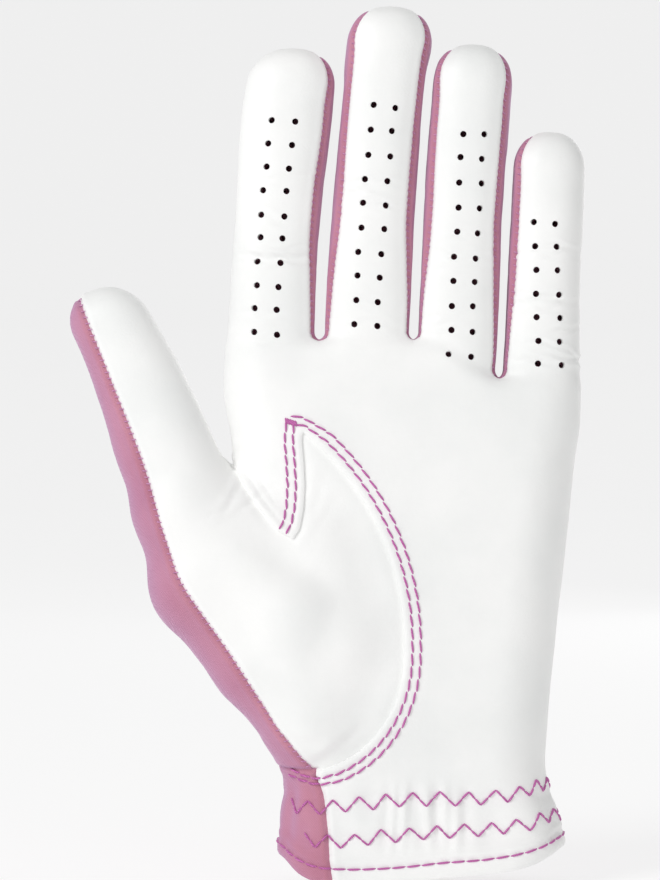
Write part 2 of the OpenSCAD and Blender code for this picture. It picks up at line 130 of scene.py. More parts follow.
def noise(p, size, seed):
    """Smooth random field in -1..1 with features of about the given size."""
    local = np.random.default_rng(seed)
    total = np.zeros(len(p))
    for _ in range(7):
        direction = unit(local.normal(size=3))
        bend = unit(local.normal(size=3))
        wave = 2 * math.pi / (size * local.uniform(0.7, 1.4))
        phase = p @ direction * wave + 1.7 * np.sin(p @ bend * wave * 0.6 + local.uniform(0, 6))
        total += np.sin(phase + local.uniform(0, 6))
    return total / 4.5


def polyline_distance(px, pz, line):
    """Distance to a line of straight pieces in X and Z."""
    best = np.full(len(px), 1e9)
    for (x0, z0), (x1, z1) in zip(line, line[1:]):
        dx, dz = x1 - x0, z1 - z0
        t = np.clip(((px - x0) * dx + (pz - z0) * dz) / (dx * dx + dz * dz), 0, 1)
        best = np.minimum(best, np.hypot(px - x0 - t * dx, pz - z0 - t * dz))
    return best


def inside_outline(px, pz, outline):
    """True for places inside a closed outline in X and Z."""
    inside = np.zeros(len(px), bool)
    for (x0, z0), (x1, z1) in zip(outline, outline[1:] + outline[:1]):
        spans = (z0 > pz) != (z1 > pz)
        if z0 != z1:
            inside ^= spans & (px < x0 + (pz - z0) * (x1 - x0) / (z1 - z0))
    return inside


def arc(cx, cz, rx, rz, start, end, steps):
    """Points along part of an ellipse in X and Z."""
    angles = np.radians(np.linspace(start, end, steps))
    return np.stack([cx + rx * np.cos(angles), cz + rz * np.sin(angles)], 1)


def densify(line, step=0.4):
    """Points at even spacing along a line of any dimension."""
    line = np.asarray(line, float)
    at = np.concatenate([[0], np.cumsum(np.linalg.norm(np.diff(line, axis=0), axis=1))])
    new = np.linspace(0, at[-1], max(2, int(at[-1] / step) + 1))
    return np.stack([np.interp(new, at, line[:, k]) for k in range(line.shape[1])], 1)


def offset_line(line, gap):
    """A line in X and Z moved to its left by gap, seen along its direction."""
    along = unit(np.gradient(line, axis=0))
    return line + gap * np.stack([-along[:, 1], along[:, 0]], 1)


# ---------------------------------------------------------------- the hand shape
class Finger:
    """A finger's frame and proportions. Stations run from its root to its tip as shares of its length."""

    stations = (0.0, 0.2, 0.36, 0.5, 0.74, 0.88, 1.0)

    def __init__(self, name, widths, bow, shift):
        joints = [JOINTS[f"{name}_{part}_bend"] for part in ("root", "middle", "end")]
        self.name = name
        self.across = np.array(joints[0]["axis"])
        self.along = np.array([-self.across[2], 0, self.across[0]])
        self.pivots = [np.array(j["pos_m"]) / MM for j in joints]
        self.origin = self.pivots[0] - ROOT_BELOW_JOINT * self.along
        self.origin[1] = 0
        tip = node_box(f"{name}_front_tip")[1][2]
        self.length = (tip - self.origin[2]) / self.along[2]
        self.joint_at = [(p - self.origin) @ self.along for p in self.pivots]
        self.widths = widths
        self.bow = bow
        self.shift = shift
        self.cap = 9.6
        self.depth = (8.0, 7.9, 7.5, 7.6, 8.0, 7.6, 7.2)

    def local(self, p):
        """Places across, in depth and along the finger; across is counted from its curved middle line."""
        d = p - self.origin
        along = d @ self.along
        share = np.clip(along / self.length, 0, 1)
        middle = self.shift - self.bow * 4 * share * (1 - share)
        return d @ self.across - middle, d[:, 1], along

    def volume(self, p):
        u, v, w = self.local(p)
        at = np.array(self.stations) * self.length
        half_width = soft_interp(w, at, self.widths) / 2
        half_depth = soft_interp(w, at, self.depth)
        over = np.clip(w - (self.length - self.cap), 0, None) / self.cap
        under = np.clip(-8 - w, 0, None) / 14
        n = 2.25
        across, deep = np.abs(u / half_width), np.abs(v / half_depth)
        q = (across ** n + deep ** n + over ** n + under ** n) ** (1 / n)
        return (1 - q) * half_depth

    def cuts(self):
        """Heights where the finger's pieces end, and the stretch over which each joint bends it."""
        first, second, third = self.joint_at
        reach_2 = min(9.0, second - first - 10)
        reach_3 = min(8.5, (self.length - third) * 0.58)
        bends = [
            (ZONE_START, 2 * first - ZONE_START),
            (second - reach_2, second + reach_2),
            (third - reach_3, third + reach_3),
        ]
        ends = [(bends[0][1] + bends[1][0]) / 2, (bends[1][1] + bends[2][0]) / 2]
        return [ZONE_START] + ends, bends

    def point(self, w):
        return self.origin + self.along * w


finger_shapes = [
    Finger("index", (21.8, 20.9, 19.9, 19.9, 21.3, 20.8, 20.4), 1.1, 0.6),
    Finger("middle", (23.0, 21.4, 19.5, 19.2, 19.2, 20.0, 19.8), 1.0, 0.0),
    Finger("ring", (21.6, 19.9, 18.8, 18.7, 18.8, 18.9, 18.6), 0.2, -0.35),
    Finger("little", (19.4, 18.3, 17.5, 17.2, 17.0, 16.9, 16.6), 0.0, -0.2),
]


class Palm:
    """Palm, wrist and cuff. Stations are heights; the sides are insets from the CAD palm's box."""

    heights = (0, 9, 25, 40, 60, 85, 100, 112, 121, 132)
    left_inset = (12.6, 12.4, 13.8, 11.5, 8.5, 5.0, 1.6, 0.8, 0.9, 1.1)
    right_inset = (3.9, 3.2, 8.4, 7.3, 5.4, 2.7, 1.1, 0.6, 0.5, 0.5)
    front = (13.4, 13.4, 12.6, 13.6, 14.4, 13.6, 12.0, 10.4, 8.8, 8.0)
    back = (13.4, 13.4, 12.4, 12.2, 12.2, 12.0, 11.4, 10.0, 8.6, 8.0)

    def __init__(self):
        lo, hi = node_box("palm_panel")
        self.left = lo[0] + np.array(self.left_inset)
        self.right = hi[0] - np.array(self.right_inset)
        self.crotch = finger_shapes[0].origin[2] + 0.4
        self.low_crotch = finger_shapes[3].origin[2] - 0.6

    def top(self, x):
        """Height of the crotches, which drop beside the little finger."""
        return self.crotch + (self.low_crotch - self.crotch) * smoothstep((x + 1) / 20)

    def volume(self, p):
        x, y, z = p.T
        left = soft_interp(z, self.heights, self.left)
        right = soft_interp(z, self.heights, self.right)
        front = soft_interp(z, self.heights, self.front)
        back = soft_interp(z, self.heights, self.back)
        half_width = (right - left) / 2
        share = np.clip((x - (left + right) / 2) / half_width, -1, 1)
        half_depth = (front + back) / 2
        depth = (y - (back - front) / 2) * (1 + 0.13 * share ** 2)
        out = np.maximum(np.abs(x - (left + right) / 2) - (half_width - half_depth), 0)
        side = half_depth - np.hypot(out, depth)
        return -smooth_max(-side, z - self.top(x), 3.0)


palm = Palm()


class Thumb:
    """The thumb's tube in the frame of its end joint, and the ball of the thumb as joined round bars."""

    stations = (-40, -30, -20, -10, 0, 10, 19, 28)
    half_width = (12.0, 12.0, 11.7, 11.4, 10.5, 9.7, 9.2, 8.8)
    middle = (1.2, 1.2, 1.0, 1.2, 1.8, 1.8, 1.3, -0.2)
    half_depth = (11.0, 11.0, 10.5, 10.0, 9.3, 8.9, 8.6, 8.2)
    tip_above_joint = 28.3
    cap = 9.5
    balls = {
        "knuckle": ((-54.6, -4.0, 86.0), 11.6),
        "heel": ((-49.8, -3.0, 69.5), 12.7),
        "low": ((-37.4, -4.0, 51.2), 11.0),
        "foot": ((-25.5, -5.0, 37.0), 10.6),
        "middle": ((-30.0, -5.5, 62.0), 13.0),
        "crest": ((-19.5, -4.5, 57.0), 12.0),
        "peak": ((-24.5, -4.0, 78.0), 10.5),
    }
    bars = (
        ("knuckle", "heel"), ("heel", "low"), ("low", "foot"), ("foot", "crest"), ("crest", "peak"),
        ("peak", "knuckle"), ("middle", "heel"), ("middle", "crest"), ("middle", "knuckle"),
        ("middle", "foot"),
    )

    def __init__(self):
        end, root = JOINTS["thumb_end_bend"], JOINTS["thumb_swing"]
        self.across = np.array(end["axis"])
        self.along = np.array([-self.across[2], 0, self.across[0]])
        self.origin = np.array(end["pos_m"]) / MM
        self.root = np.array(root["pos_m"]) / MM
        root_axis = np.array(root["axis"])
        self.root_along = np.array([-root_axis[2], 0, root_axis[0]])
        self.origin[1] = -4.0

    def local(self, p):
        d = p - self.origin
        w = d @ self.along
        return d @ self.across - soft_interp(w, self.stations, self.middle), d[:, 1], w

    def tube(self, p):
        u, v, w = self.local(p)
        a = soft_interp(w, self.stations, self.half_width)
        b = soft_interp(w, self.stations, self.half_depth)
        over = np.clip(w - (self.tip_above_joint - self.cap), 0, None) / self.cap
        under = np.clip(-20 - w, 0, None) / 16
        n = 2.2
        q = (np.abs(u / a) ** n + np.abs(v / b) ** n + over ** n + under ** n) ** (1 / n)
        return (1 - q) * b

    def ball(self, p):
        total = None
        for first, second in self.bars:
            (c0, r0), (c1, r1) = self.balls[first], self.balls[second]
            c0, c1 = np.array(c0), np.array(c1)
            along = c1 - c0
            t = np.clip((p - c0) @ along / (along @ along), 0, 1)
            bar = r0 + (r1 - r0) * t - np.linalg.norm(p - c0 - t[:, None] * along, axis=1)
            total = bar if total is None else smooth_max(total, bar, 2.5)
        return total

    def volume(self, p):
        return smooth_max(self.tube(p), self.ball(p), 5.0)


thumb = Thumb()


def hand_volume(p):
    """Positive inside the filled glove and about the depth below its surface, in millimetres."""
    body = smooth_max(palm.volume(p), thumb.ball(p), 5.0)
    body = smooth_max(body, thumb.tube(p), 3.0)
    each = np.array([f.volume(p) for f in finger_shapes])
    ranked = np.sort(each, axis=0)
    apart = (ranked[-1] - ranked[-2]) / 2 - HALF_GAP
    return smooth_max(body, np.minimum(ranked[-1], apart), 2.6)


def slope(function, p, h=0.08):
    """Gradient of a function at points."""
    out = np.empty_like(p)
    for axis in range(3):
        step = np.zeros(3)
        step[axis] = h
        out[:, axis] = (function(p + step) - function(p - step)) / (2 * h)
    return out


def outward(p):
    return -unit(slope(hand_volume, p))


def settle(p, rounds=2):
    """Moves points onto the skin."""
    for _ in range(rounds):
        g = slope(hand_volume, p)
        size = np.maximum((g * g).sum(1), 0.05)
        move = np.clip(hand_volume(p) / size, -2, 2)
        p = p - g * move[:, None]
    return p


# ---------------------------------------------------------------- drawing the skin as triangles
def surface_net(values, origin, step):
    """Triangles round the positive part of a grid of values."""
    shape = np.array(values.shape)
    cells = shape - 1
    total = np.zeros(tuple(cells) + (3,))
    count = np.zeros(tuple(cells))
    crossings = []
    for axis in range(3):
        low = [slice(None)] * 3
        high = [slice(None)] * 3
        low[axis], high[axis] = slice(0, -1), slice(1, None)
        a, b = values[tuple(low)], values[tuple(high)]
        at = np.argwhere((a > 0) != (b > 0))
        va, vb = a[tuple(at.T)], b[tuple(at.T)]
        place = at.astype(float)
        place[:, axis] += va / (va - vb)
        u, v = (axis + 1) % 3, (axis + 2) % 3
        corners = []
        for du, dv in ((0, 0), (-1, 0), (-1, -1), (0, -1)):
            cell = at.copy()
            cell[:, u] += du
            cell[:, v] += dv
            corners.append(cell)
            np.add.at(total, tuple(cell.T), place)
            np.add.at(count, tuple(cell.T), 1)
        crossings.append((corners, va > 0))
    used = count > 0
    index = np.full(tuple(cells), -1)
    index[used] = np.arange(used.sum())
    points = total[used] / count[used][:, None] * step + origin
    quads = []
    for corners, positive in crossings:
        quad = np.stack([index[tuple(c.T)] for c in corners], 1)
        quad[~positive] = quad[~positive][:, ::-1]
        quads.append(quad)
    quads = np.concatenate(quads)
    a, b, c, d = (points[quads[:, k]] for k in range(4))
    short = np.linalg.norm(a - c, axis=1) < np.linalg.norm(b - d, axis=1)
    first = np.where(short[:, None], quads[:, [0, 1, 2]], quads[:, [0, 1, 3]])
    second = np.where(short[:, None], quads[:, [0, 2, 3]], quads[:, [1, 2, 3]])
    return points, np.concatenate([first, second])


def edges_of(tris):
    """Unique edges, and for each triangle the number of its edges 0-1, 1-2 and 2-0."""
    ends = np.stack([tris[:, [0, 1]], tris[:, [1, 2]], tris[:, [2, 0]]], 1).reshape(-1, 2)
    ends = np.sort(ends, axis=1)
    span = int(tris.max()) + 1
    keys, which = np.unique(ends[:, 0].astype(np.int64) * span + ends[:, 1], return_inverse=True)
    return np.stack([keys // span, keys % span], 1), which.reshape(-1, 3)


def split_edges(points, tris, of_tri, flag, middles):
    """Puts a point on each flagged edge and divides the triangles to suit."""
    new = np.full(len(flag), -1)
    new[flag] = len(points) + np.arange(flag.sum())
    points = np.concatenate([points, middles])
    m = new[of_tri]
    n = (m >= 0).sum(1)
    out = [tris[n == 0]]
    for k in range(3):
        order = [k, (k + 1) % 3, (k + 2) % 3]
        pick = (n == 1) & (m[:, k] >= 0)
        a, b, c = tris[pick][:, order].T
        x = m[pick, k]
        out += [np.stack([a, x, c], 1), np.stack([x, b, c], 1)]
        pick = (n == 2) & (m[:, k] < 0)
        a, b, c = tris[pick][:, order].T
        x, y = m[pick, order[1]], m[pick, order[2]]
        out.append(np.stack([x, c, y], 1))
        gap_a = np.linalg.norm(points[a] - points[x], axis=1)
        gap_b = np.linalg.norm(points[b] - points[y], axis=1)
        short = gap_a < gap_b
        out.append(np.where(short[:, None], np.stack([a, b, x], 1), np.stack([a, b, y], 1)))
        out.append(np.where(short[:, None], np.stack([a, x, y], 1), np.stack([b, x, y], 1)))
    pick = n == 3
    a, b, c = tris[pick].T
    x, y, z = m[pick].T
    out += [np.stack(t, 1) for t in ((a, x, z), (x, b, y), (z, y, c), (x, y, z))]
    return points, np.concatenate(out)


def refine(points, tris, limit):
    """Halves every edge longer than limit(middle point) allows."""
    edges, of_tri = edges_of(tris)
    a, b = points[edges[:, 0]], points[edges[:, 1]]
    middle = (a + b) / 2
    flag = np.linalg.norm(a - b, axis=1) > limit(middle)
    return split_edges(points, tris, of_tri, flag, settle(middle[flag]))


def relax(points, tris, rounds):
    """Evens out the triangles without leaving the skin."""
    edges, _ = edges_of(tris)
    for _ in range(rounds):
        total = np.zeros_like(points)
        count = np.zeros(len(points))
        for one, other in ((0, 1), (1, 0)):
            np.add.at(total, edges[:, one], points[edges[:, other]])
            np.add.at(count, edges[:, one], 1)
        points = settle(points * 0.4 + total / count[:, None] * 0.6, 1)
    return points


class Skin:
    """The whole skin as triangles, which seams are cut into one after another."""

    def __init__(self, points, tris):
        self.points = points
        self.tris = tris
        self.locked = np.zeros(len(points), bool)

    def cut(self, seam, domain):
        """Divides the triangles along seam(p) = 0 wherever domain(p) is true."""
        value = seam(self.points)
        inside = domain(self.points)
        edges, of_tri = edges_of(self.tris)
        length = np.linalg.norm(self.points[edges[:, 0]] - self.points[edges[:, 1]], axis=1)
        shortest = np.full(len(self.points), 1e9)
        np.minimum.at(shortest, edges[:, 0], length)
        np.minimum.at(shortest, edges[:, 1], length)
        close = np.flatnonzero(inside & ~self.locked & (np.abs(value) < 1.2))
        if len(close):
            p = self.points[close]
            g = slope(seam, p)
            n = outward(p)
            g -= (g * n).sum(1)[:, None] * n
            size = np.maximum((g * g).sum(1), 1e-3)
            move = -value[close] / size
            near = np.abs(move) * np.sqrt(size) < 0.28 * shortest[close]
            moved = settle(p[near] + g[near] * move[near, None], 1)
            self.points[close[near]] = moved
            value[close[near]] = 0
            self.locked[close[near]] = True
        a, b = value[edges[:, 0]], value[edges[:, 1]]
        flag = (a * b < 0) & inside[edges].all(1)
        t = (a / np.where(a == b, 1, a - b))[flag][:, None]
        ends = self.points[edges[flag]]
        middle = settle(ends[:, 0] * (1 - t) + ends[:, 1] * t)
        self.points, self.tris = split_edges(self.points, self.tris, of_tri, flag, middle)
        self.locked = np.concatenate([self.locked, np.ones(flag.sum(), bool)])

    def side(self, seam):
        """The seam function's value for each triangle, taken at its corner farthest from the seam."""
        value = seam(self.points)[self.tris]
        return value[np.arange(len(value)), np.abs(value).argmax(1)]


# ---------------------------------------------------------------- seams
crest_hi = node_box("thumb_seam_stitching")[1]
CREST_X, CREST_Z = crest_hi[0] - 4.5, 56.0             # the widest place of the half-moon seam
upper = arc(CREST_X - 62, CREST_Z, 62, 62, 51.6, 0, 22)
lower = arc(CREST_X - 24, CREST_Z - 2.8, 24, 27.2, 0, -81, 16)
CRESCENT = np.concatenate([upper, lower])
APEX = CRESCENT[0]
LEG = np.array([
    (-29.6, 79.9), (-28.1, 82.2), (-27.2, 86.7), (-26.9, 92.2), (-27.2, 97.7), (-27.6, 102.5),
    tuple(APEX),
])
WEB = [(-33.2, 81.9), (-37.3, 86.9), (-41.0, 92.6), (-45.2, 99.0)]
THUMB_SEAM = (
    (0.0, 22.0, 26.5, 33.5, 51.2, 69.9, 79.3, 98.0, 130.7, 160.0),
    (-9.0, -22.2, -25.2, -31.8, -42.8, -55.9, -59.1, -64.5, -77.6, -88.0),
)                         # heights of the seam between the thumb's leather and fabric, and X there
WRIST_Z = 24.5
CUFF_SEAM = (
    (0, 6, 12, 17, 21.6, 25),
    (-20.3, -21.2, -21.6, -22.1, -23.0, -24.3),
)                         # heights of the seam between leather and fabric on the cuff, and X there
HEM_EDGE = (
    (-32.3, -29.9, -26.1, -22.5, -15, -8, -2, 4.7, 14.2, 21.4, 25, 29.5, 33.3),
    (6.5, 3.2, 1.1, 0.4, 0.2, 0.5, 1.0, 1.8, 2.4, 3.4, 4.2, 6.0, 8.4),
)
HEM_BACK = 6.0            # height of the hem's edge at the back


def crescent_side(x, z):
    """Distance to the outline of the thumb's opening on the front, positive on the thumb's side."""
    outline = [(-200.0, 25.9)] + [tuple(p) for p in CRESCENT[::-1]] + [tuple(p) for p in LEG[::-1][1:]]
    outline += WEB + [(-46.0, 260.0)]
    gap = polyline_distance(x, z, outline)
    return np.where(inside_outline(x, z, outline + [(-200.0, 260.0)]), gap, -gap)


def thumb_side(p):
    """Positive on the thumb's panels."""
    front = crescent_side(p[:, 0], p[:, 2])
    fingers = np.max([f.volume(p) for f in finger_shapes], axis=0)
    valley = (thumb.volume(p) - np.maximum(palm.volume(p), fingers)) * 0.7
    share = smoothstep((p[:, 1] + 7) / 6)
    return np.minimum(front * (1 - share) + valley * share, p[:, 2] - WRIST_Z)


def thumb_leather_side(p):
    """Positive on the thumb's leather, negative on its fabric."""
    inset = p[:, 0] - soft_interp(p[:, 2], *THUMB_SEAM)
    return np.minimum(0.9 * inset, 3.0 - p[:, 1])


def finger_of(p):
    return np.argmax([f.volume(p) for f in finger_shapes], axis=0)


def finger_places(p):
    """For each point its finger, its place across and along it, and how near the tip it is (0..1)."""
    which = finger_of(p)
    u = np.zeros(len(p))
    w = np.zeros(len(p))
    near_tip = np.zeros(len(p))
    for k, f in enumerate(finger_shapes):
        pick = which == k
        u[pick], _, w[pick] = f.local(p[pick])
        near_tip[pick] = np.clip((w[pick] - (f.length - 15)) / 14, 0, 1)
    return which, u, w, near_tip


def has_strip(which, u):
    """True on the sides of the fingers that carry a fabric strip."""
    return ~((which == 0) & (u < 0)) & ~((which == 3) & (u > 0))


def tip_taper(near_tip):
    return np.sqrt(np.clip(1 - near_tip ** 2, 0, 1))


def back_side(p):
    """Positive on the back fabric."""
    which, u, w, near_tip = finger_places(p)
    reach = np.where(has_strip(which, u), HALF_STRIP, WRAP)
    back = p[:, 1] - reach * tip_taper(near_tip)
    cuff = np.minimum(np.interp(p[:, 2], *CUFF_SEAM) - p[:, 0], WRIST_Z + 16 - p[:, 2])
    return np.maximum(back, cuff)


def strip_front_side(p):
    """Positive on the front leather side of the fabric strips."""
    which, u, w, near_tip = finger_places(p)
    return -p[:, 1] - HALF_STRIP * tip_taper(near_tip)


def strip_domain(p):
    which, u, w, near_tip = finger_places(p)
    return has_strip(which, u) & (p[:, 2] > 105)


def hem_side(p):
    """Height above the hem's lower edge, which dips at the front and rises to the sides."""
    front = soft_interp(p[:, 0], *HEM_EDGE, spread=0.8)
    share = smoothstep((p[:, 1] + 10) / 16)
    return p[:, 2] - (front * (1 - share) + np.maximum(front, HEM_BACK) * share)


def zone_side(k, height):
    return lambda p: finger_shapes[k].local(p)[2] - height


THUMB_CUT = -9.0


def thumb_zone_side(p):
    return thumb.local(p)[2] - THUMB_CUT


slit_lo, slit_hi = node_box("slit_binding")
SLIT_X = (slit_lo[0] + slit_hi[0]) / 2
SLIT_TOP = slit_hi[2] - 5.0
SLIT_HALF = 1.5


def slit_side(p):
    """Negative inside the slit in the back."""
    up = np.maximum(p[:, 2] - SLIT_TOP, 0)
    return np.hypot(p[:, 0] - SLIT_X, up) - SLIT_HALF


def hole_centres():
    """Places of the ventilation holes: finger, place across it and height along it."""
    columns = {
        "index": (10, 2.2, 51.8, -1.9, -0.6, 5.3),
        "middle": (10, 3.0, 54.0, -0.6, 0.3, 5.3),
        "ring": (10, -3.8, 47.6, 1.0, 1.0, 5.1),
        "little": (7, 3.2, 35.8, 2.2, -0.7, 5.2),
    }
    out = []
    for k, f in enumerate(finger_shapes):
        rows, low, high, off_low, off_high, spacing = columns[f.name]
        for row in range(rows):
            share = row / (rows - 1)
            for side in (-1, 1):
                u = off_low + (off_high - off_low) * share + side * spacing / 2
                wobble = rng.uniform(-0.22, 0.22, 2)
                out.append((k, u + wobble[0], low + (high - low) * share + wobble[1]))
    return out


HOLES = hole_centres()


def hole_side(p):
    """Positive outside the ventilation holes."""
    best = np.full(len(p), 50.0)
    for k, f in enumerate(finger_shapes):
        u, v, w = f.local(p)
        for finger, hu, hw in HOLES:
            if finger == k:
                best = np.minimum(best, np.hypot(u - hu, w - hw) - HOLE_R)
    return np.where(p[:, 1] < 0, best, 50.0)


def seam_nearness(p):
    """Rough distance to the nearest seam."""
    on_thumb = thumb_side(p)
    gaps = [np.abs(on_thumb)]
    gaps.append(np.where(on_thumb > -1, np.abs(thumb_leather_side(p)), 50))
    gaps.append(np.where(on_thumb < 1, np.abs(back_side(p)), 50))
    gaps.append(np.where(strip_domain(p), np.abs(strip_front_side(p)), 50))
    return np.min(gaps, axis=0)


def near_folds(p):
    """True where the leather is finely folded."""
    near = np.zeros(len(p), bool)
    for k, centre, spread, depth, count, seed in CREASES:
        u, v, w = finger_shapes[k].local(p)
        near |= (np.abs(w - centre) < spread + 1.5) & (np.abs(u) < 12) & (v < 2)
    for x, z, reach in FOLD_PLACES:
        near |= (np.hypot(p[:, 0] - x, p[:, 2] - z) < reach) & (p[:, 1] < 0)
    return near


FOLD_PLACES = ((-42.0, 89.0, 8.0), (-22.0, 31.5, 9.0), (-23.5, 86.0, 6.0))


def edge_limit(p):
    """Longest edge wanted at a place: short beside seams, holes and folds."""
    seam = seam_nearness(p)
    limit = np.where(seam < 1.6, 0.62, np.where(seam < 3.2, 1.1, 5.0))
    hole = hole_side(p)
    limit = np.minimum(limit, np.where(hole < 0.7, 0.34, np.where(hole < 1.8, 0.8, 5.0)))
    limit = np.minimum(limit, np.where(near_folds(p), 0.75, 5.0))
    return np.where(p[:, 2] < 32, np.minimum(limit, 1.0), limit)


def build_skin():
    lo = np.array([node_box("thumb_front_tip")[0][0] - 4, -24.0, -9.0])
    hi = np.array([node_box("palm_panel")[1][0] + 4, 22.0, node_box("middle_front_tip")[1][2] + 4])
    shape = np.ceil((hi - lo) / GRID).astype(int)
    axes = [lo[k] + GRID * np.arange(shape[k]) for k in range(3)]
    grid = np.stack(np.meshgrid(*axes, indexing="ij"), -1).reshape(-1, 3)
    values = hand_volume(grid).reshape(shape)
    values[:, :, :2] = -1.0
    points, tris = surface_net(values, lo, GRID)
    points = relax(settle(points, 3), tris, 4)
    for _ in range(4):
        points, tris = refine(points, tris, edge_limit)
    skin = Skin(relax(points, tris, 1), tris)
    skin.cut(hem_side, lambda p: p[:, 2] < 20)
    skin.cut(thumb_side, lambda p: p[:, 2] > 20)
    skin.cut(thumb_leather_side, lambda p: thumb_side(p) > -0.6)
    skin.cut(back_side, lambda p: thumb_side(p) < 0.6)
    skin.cut(strip_front_side, lambda p: strip_domain(p) & (thumb_side(p) < 0.6))
    for k, f in enumerate(finger_shapes):
        for height in f.cuts()[0]:
            zone_line = zone_side(k, height)
            skin.cut(zone_line, lambda p: (finger_of(p) == k) & (np.abs(zone_line(p)) < 4))
    skin.cut(thumb_zone_side, lambda p: thumb_side(p) > -0.2)
    skin.cut(hole_side, lambda p: hole_side(p) < 3)
    skin.cut(slit_side, lambda p: (p[:, 1] > 3) & (p[:, 2] < SLIT_TOP + 6))
    return skin


# ---------------------------------------------------------------- panels
PANELS = ("palm_leather", "back_fabric", "strip_fabric", "thumb_leather", "thumb_fabric")
PALM, BACK, STRIP, THUMB_LEATHER, THUMB_FABRIC = range(5)


def sort_triangles(skin):
    """Drops the openings and gives every triangle its panel and its zone: 0 is the palm."""
    keep = (skin.side(hem_side) > 0) & (skin.side(hole_side) > 0)
    on_back = skin.points[skin.tris].mean(1)[:, 1] > 3
    keep &= ~(on_back & (skin.side(slit_side) < 0))
    skin.tris = skin.tris[keep]
    middle = skin.points[skin.tris].mean(1)
    which, u, w, _ = finger_places(middle)
    on_thumb = skin.side(thumb_side) > 0
    leather = skin.side(thumb_leather_side) > 0
    back = skin.side(back_side) > 0
    strip = (skin.side(strip_front_side) < 0) & has_strip(which, u) & (middle[:, 2] > 105) & ~back
    panel = np.where(back, BACK, np.where(strip, STRIP, PALM))
    panel = np.where(on_thumb, np.where(leather, THUMB_LEATHER, THUMB_FABRIC), panel)
    zone = np.zeros(len(middle), int)
    for k, f in enumerate(finger_shapes):
        for n, height in enumerate(f.cuts()[0]):
            beyond = (which == k) & ~on_thumb & (skin.side(zone_side(k, height)) > 0) & (w > -3)
            zone[beyond] = 1 + 3 * k + n
    zone[on_thumb] = np.where(skin.side(thumb_zone_side) > 0, 14, 13)[on_thumb]
    return panel, zone


def nearest_distance(points, targets):
    """Distance from each point to the nearest target."""
    if not len(targets):
        return np.full(len(points), 50.0)
    tree = KDTree(len(targets))
    for k, t in enumerate(targets):
        tree.insert(t, k)
    tree.balance()
    return np.array([tree.find(p)[2] for p in points])


def vertex_normals(points, tris):
    a, b, c = (points[tris[:, k]] for k in range(3))
    face = np.cross(b - a, c - a)
    total = np.zeros_like(points)
    for k in range(3):
        np.add.at(total, tris[:, k], face)
    return unit(total)


# ---------------------------------------------------------------- relief: grooves, laps and folds
def creases(p, places):
    """Relief of fine folds across the fingers, group by group."""
    total = np.zeros(len(p))
    for k, centre, spread, depth, count, seed in places:
        f = finger_shapes[k]
        u, v, w = f.local(p)
        local = np.random.default_rng(seed)
        for _ in range(count):
            at = centre + local.uniform(-spread, spread)
            tilt = local.uniform(-0.12, 0.12)
            curve = local.uniform(-0.03, 0.03)
            middle = local.uniform(-5, 5)
            reach = local.uniform(3.5, 8)
            line = w - at - tilt * u - curve * u * u - 0.25 * np.sin(u * 0.9 + at)
            along = np.exp(-((u - middle) / reach) ** 2)
            width = local.uniform(0.5, 0.95)
            shape = -np.exp(-(line / width) ** 2)
            shape += 0.55 * np.exp(-((np.abs(line) - 1.7 * width) / width) ** 2)
            total += depth * local.uniform(0.5, 1) * shape * along * (finger_of(p) == k) * (v < 3)
    return total


def gathers(p):
    """Puckers of the cuff, drawn in by the elastic between the two zigzag rows."""
    angle = np.arctan2(p[:, 1], p[:, 0] + 1) * 24
    pucker = np.sin(angle / 1.75 + 1.3 * np.sin(angle / 5.1) + 0.12 * p[:, 2])
    pucker += 0.6 * np.sin(angle / 1.02 + 2.0 * np.sin(angle / 3.7) - 0.1 * p[:, 2])
    band = np.exp(-((p[:, 2] - 15.5) / 7.5) ** 4)
    pull = np.exp(-((p[:, 2] - 20) / 1.6) ** 2) + np.exp(-((p[:, 2] - 11) / 1.6) ** 2)
    return 0.32 * pucker * band - 0.35 * pull * (p[:, 2] < 30)


CREASES = (
    (0, 24, 6, 0.36, 8, 11), (0, 40, 3, 0.16, 3, 12), (0, 4, 4, 0.18, 3, 13),
    (1, 33, 5, 0.28, 6, 21), (1, 6, 5, 0.16, 3, 22),
    (2, 20, 5, 0.24, 4, 31), (2, 4, 4, 0.16, 3, 32),
    (3, 28, 3, 0.26, 3, 41), (3, 17, 3, 0.30, 4, 42), (3, 7, 4, 0.36, 6, 43),
)


def web_folds(p):
    """Short folds fanning out of the thumb's web and a few soft ones low on the ball of the thumb."""
    total = np.zeros(len(p))
    folds = (
        ((-42.5, 91.0), 62, 7.0, 0.9, 0.30),
        ((-39.5, 88.0), 35, 6.0, 0.8, 0.28),
        ((-45.0, 86.5), 20, 6.5, 0.9, 0.22),
        ((-24.0, 88.5), 75, 7.0, 1.3, 0.16), ((-22.5, 84.0), 60, 6.0, 1.2, 0.14),
        ((-22.0, 29.0), 25, 8.0, 1.5, 0.32),
        ((-17.0, 33.5), 40, 7.0, 1.4, 0.25),
        ((-27.5, 33.0), -10, 8.0, 1.5, 0.22),
    )
    for (cx, cz), angle, length, width, depth in folds:
        c, s = math.cos(math.radians(angle)), math.sin(math.radians(angle))
        dx, dz = p[:, 0] - cx, p[:, 2] - cz
        along, across = dx * c + dz * s, -dx * s + dz * c + 0.03 * dx * dx * 0.2
        shape = -np.exp(-(across / width) ** 2) + 0.5 * np.exp(-((across - 1.8 * width) / width) ** 2)
        total += depth * shape * np.exp(-(along / length) ** 2) * (p[:, 1] < 0)
    return total


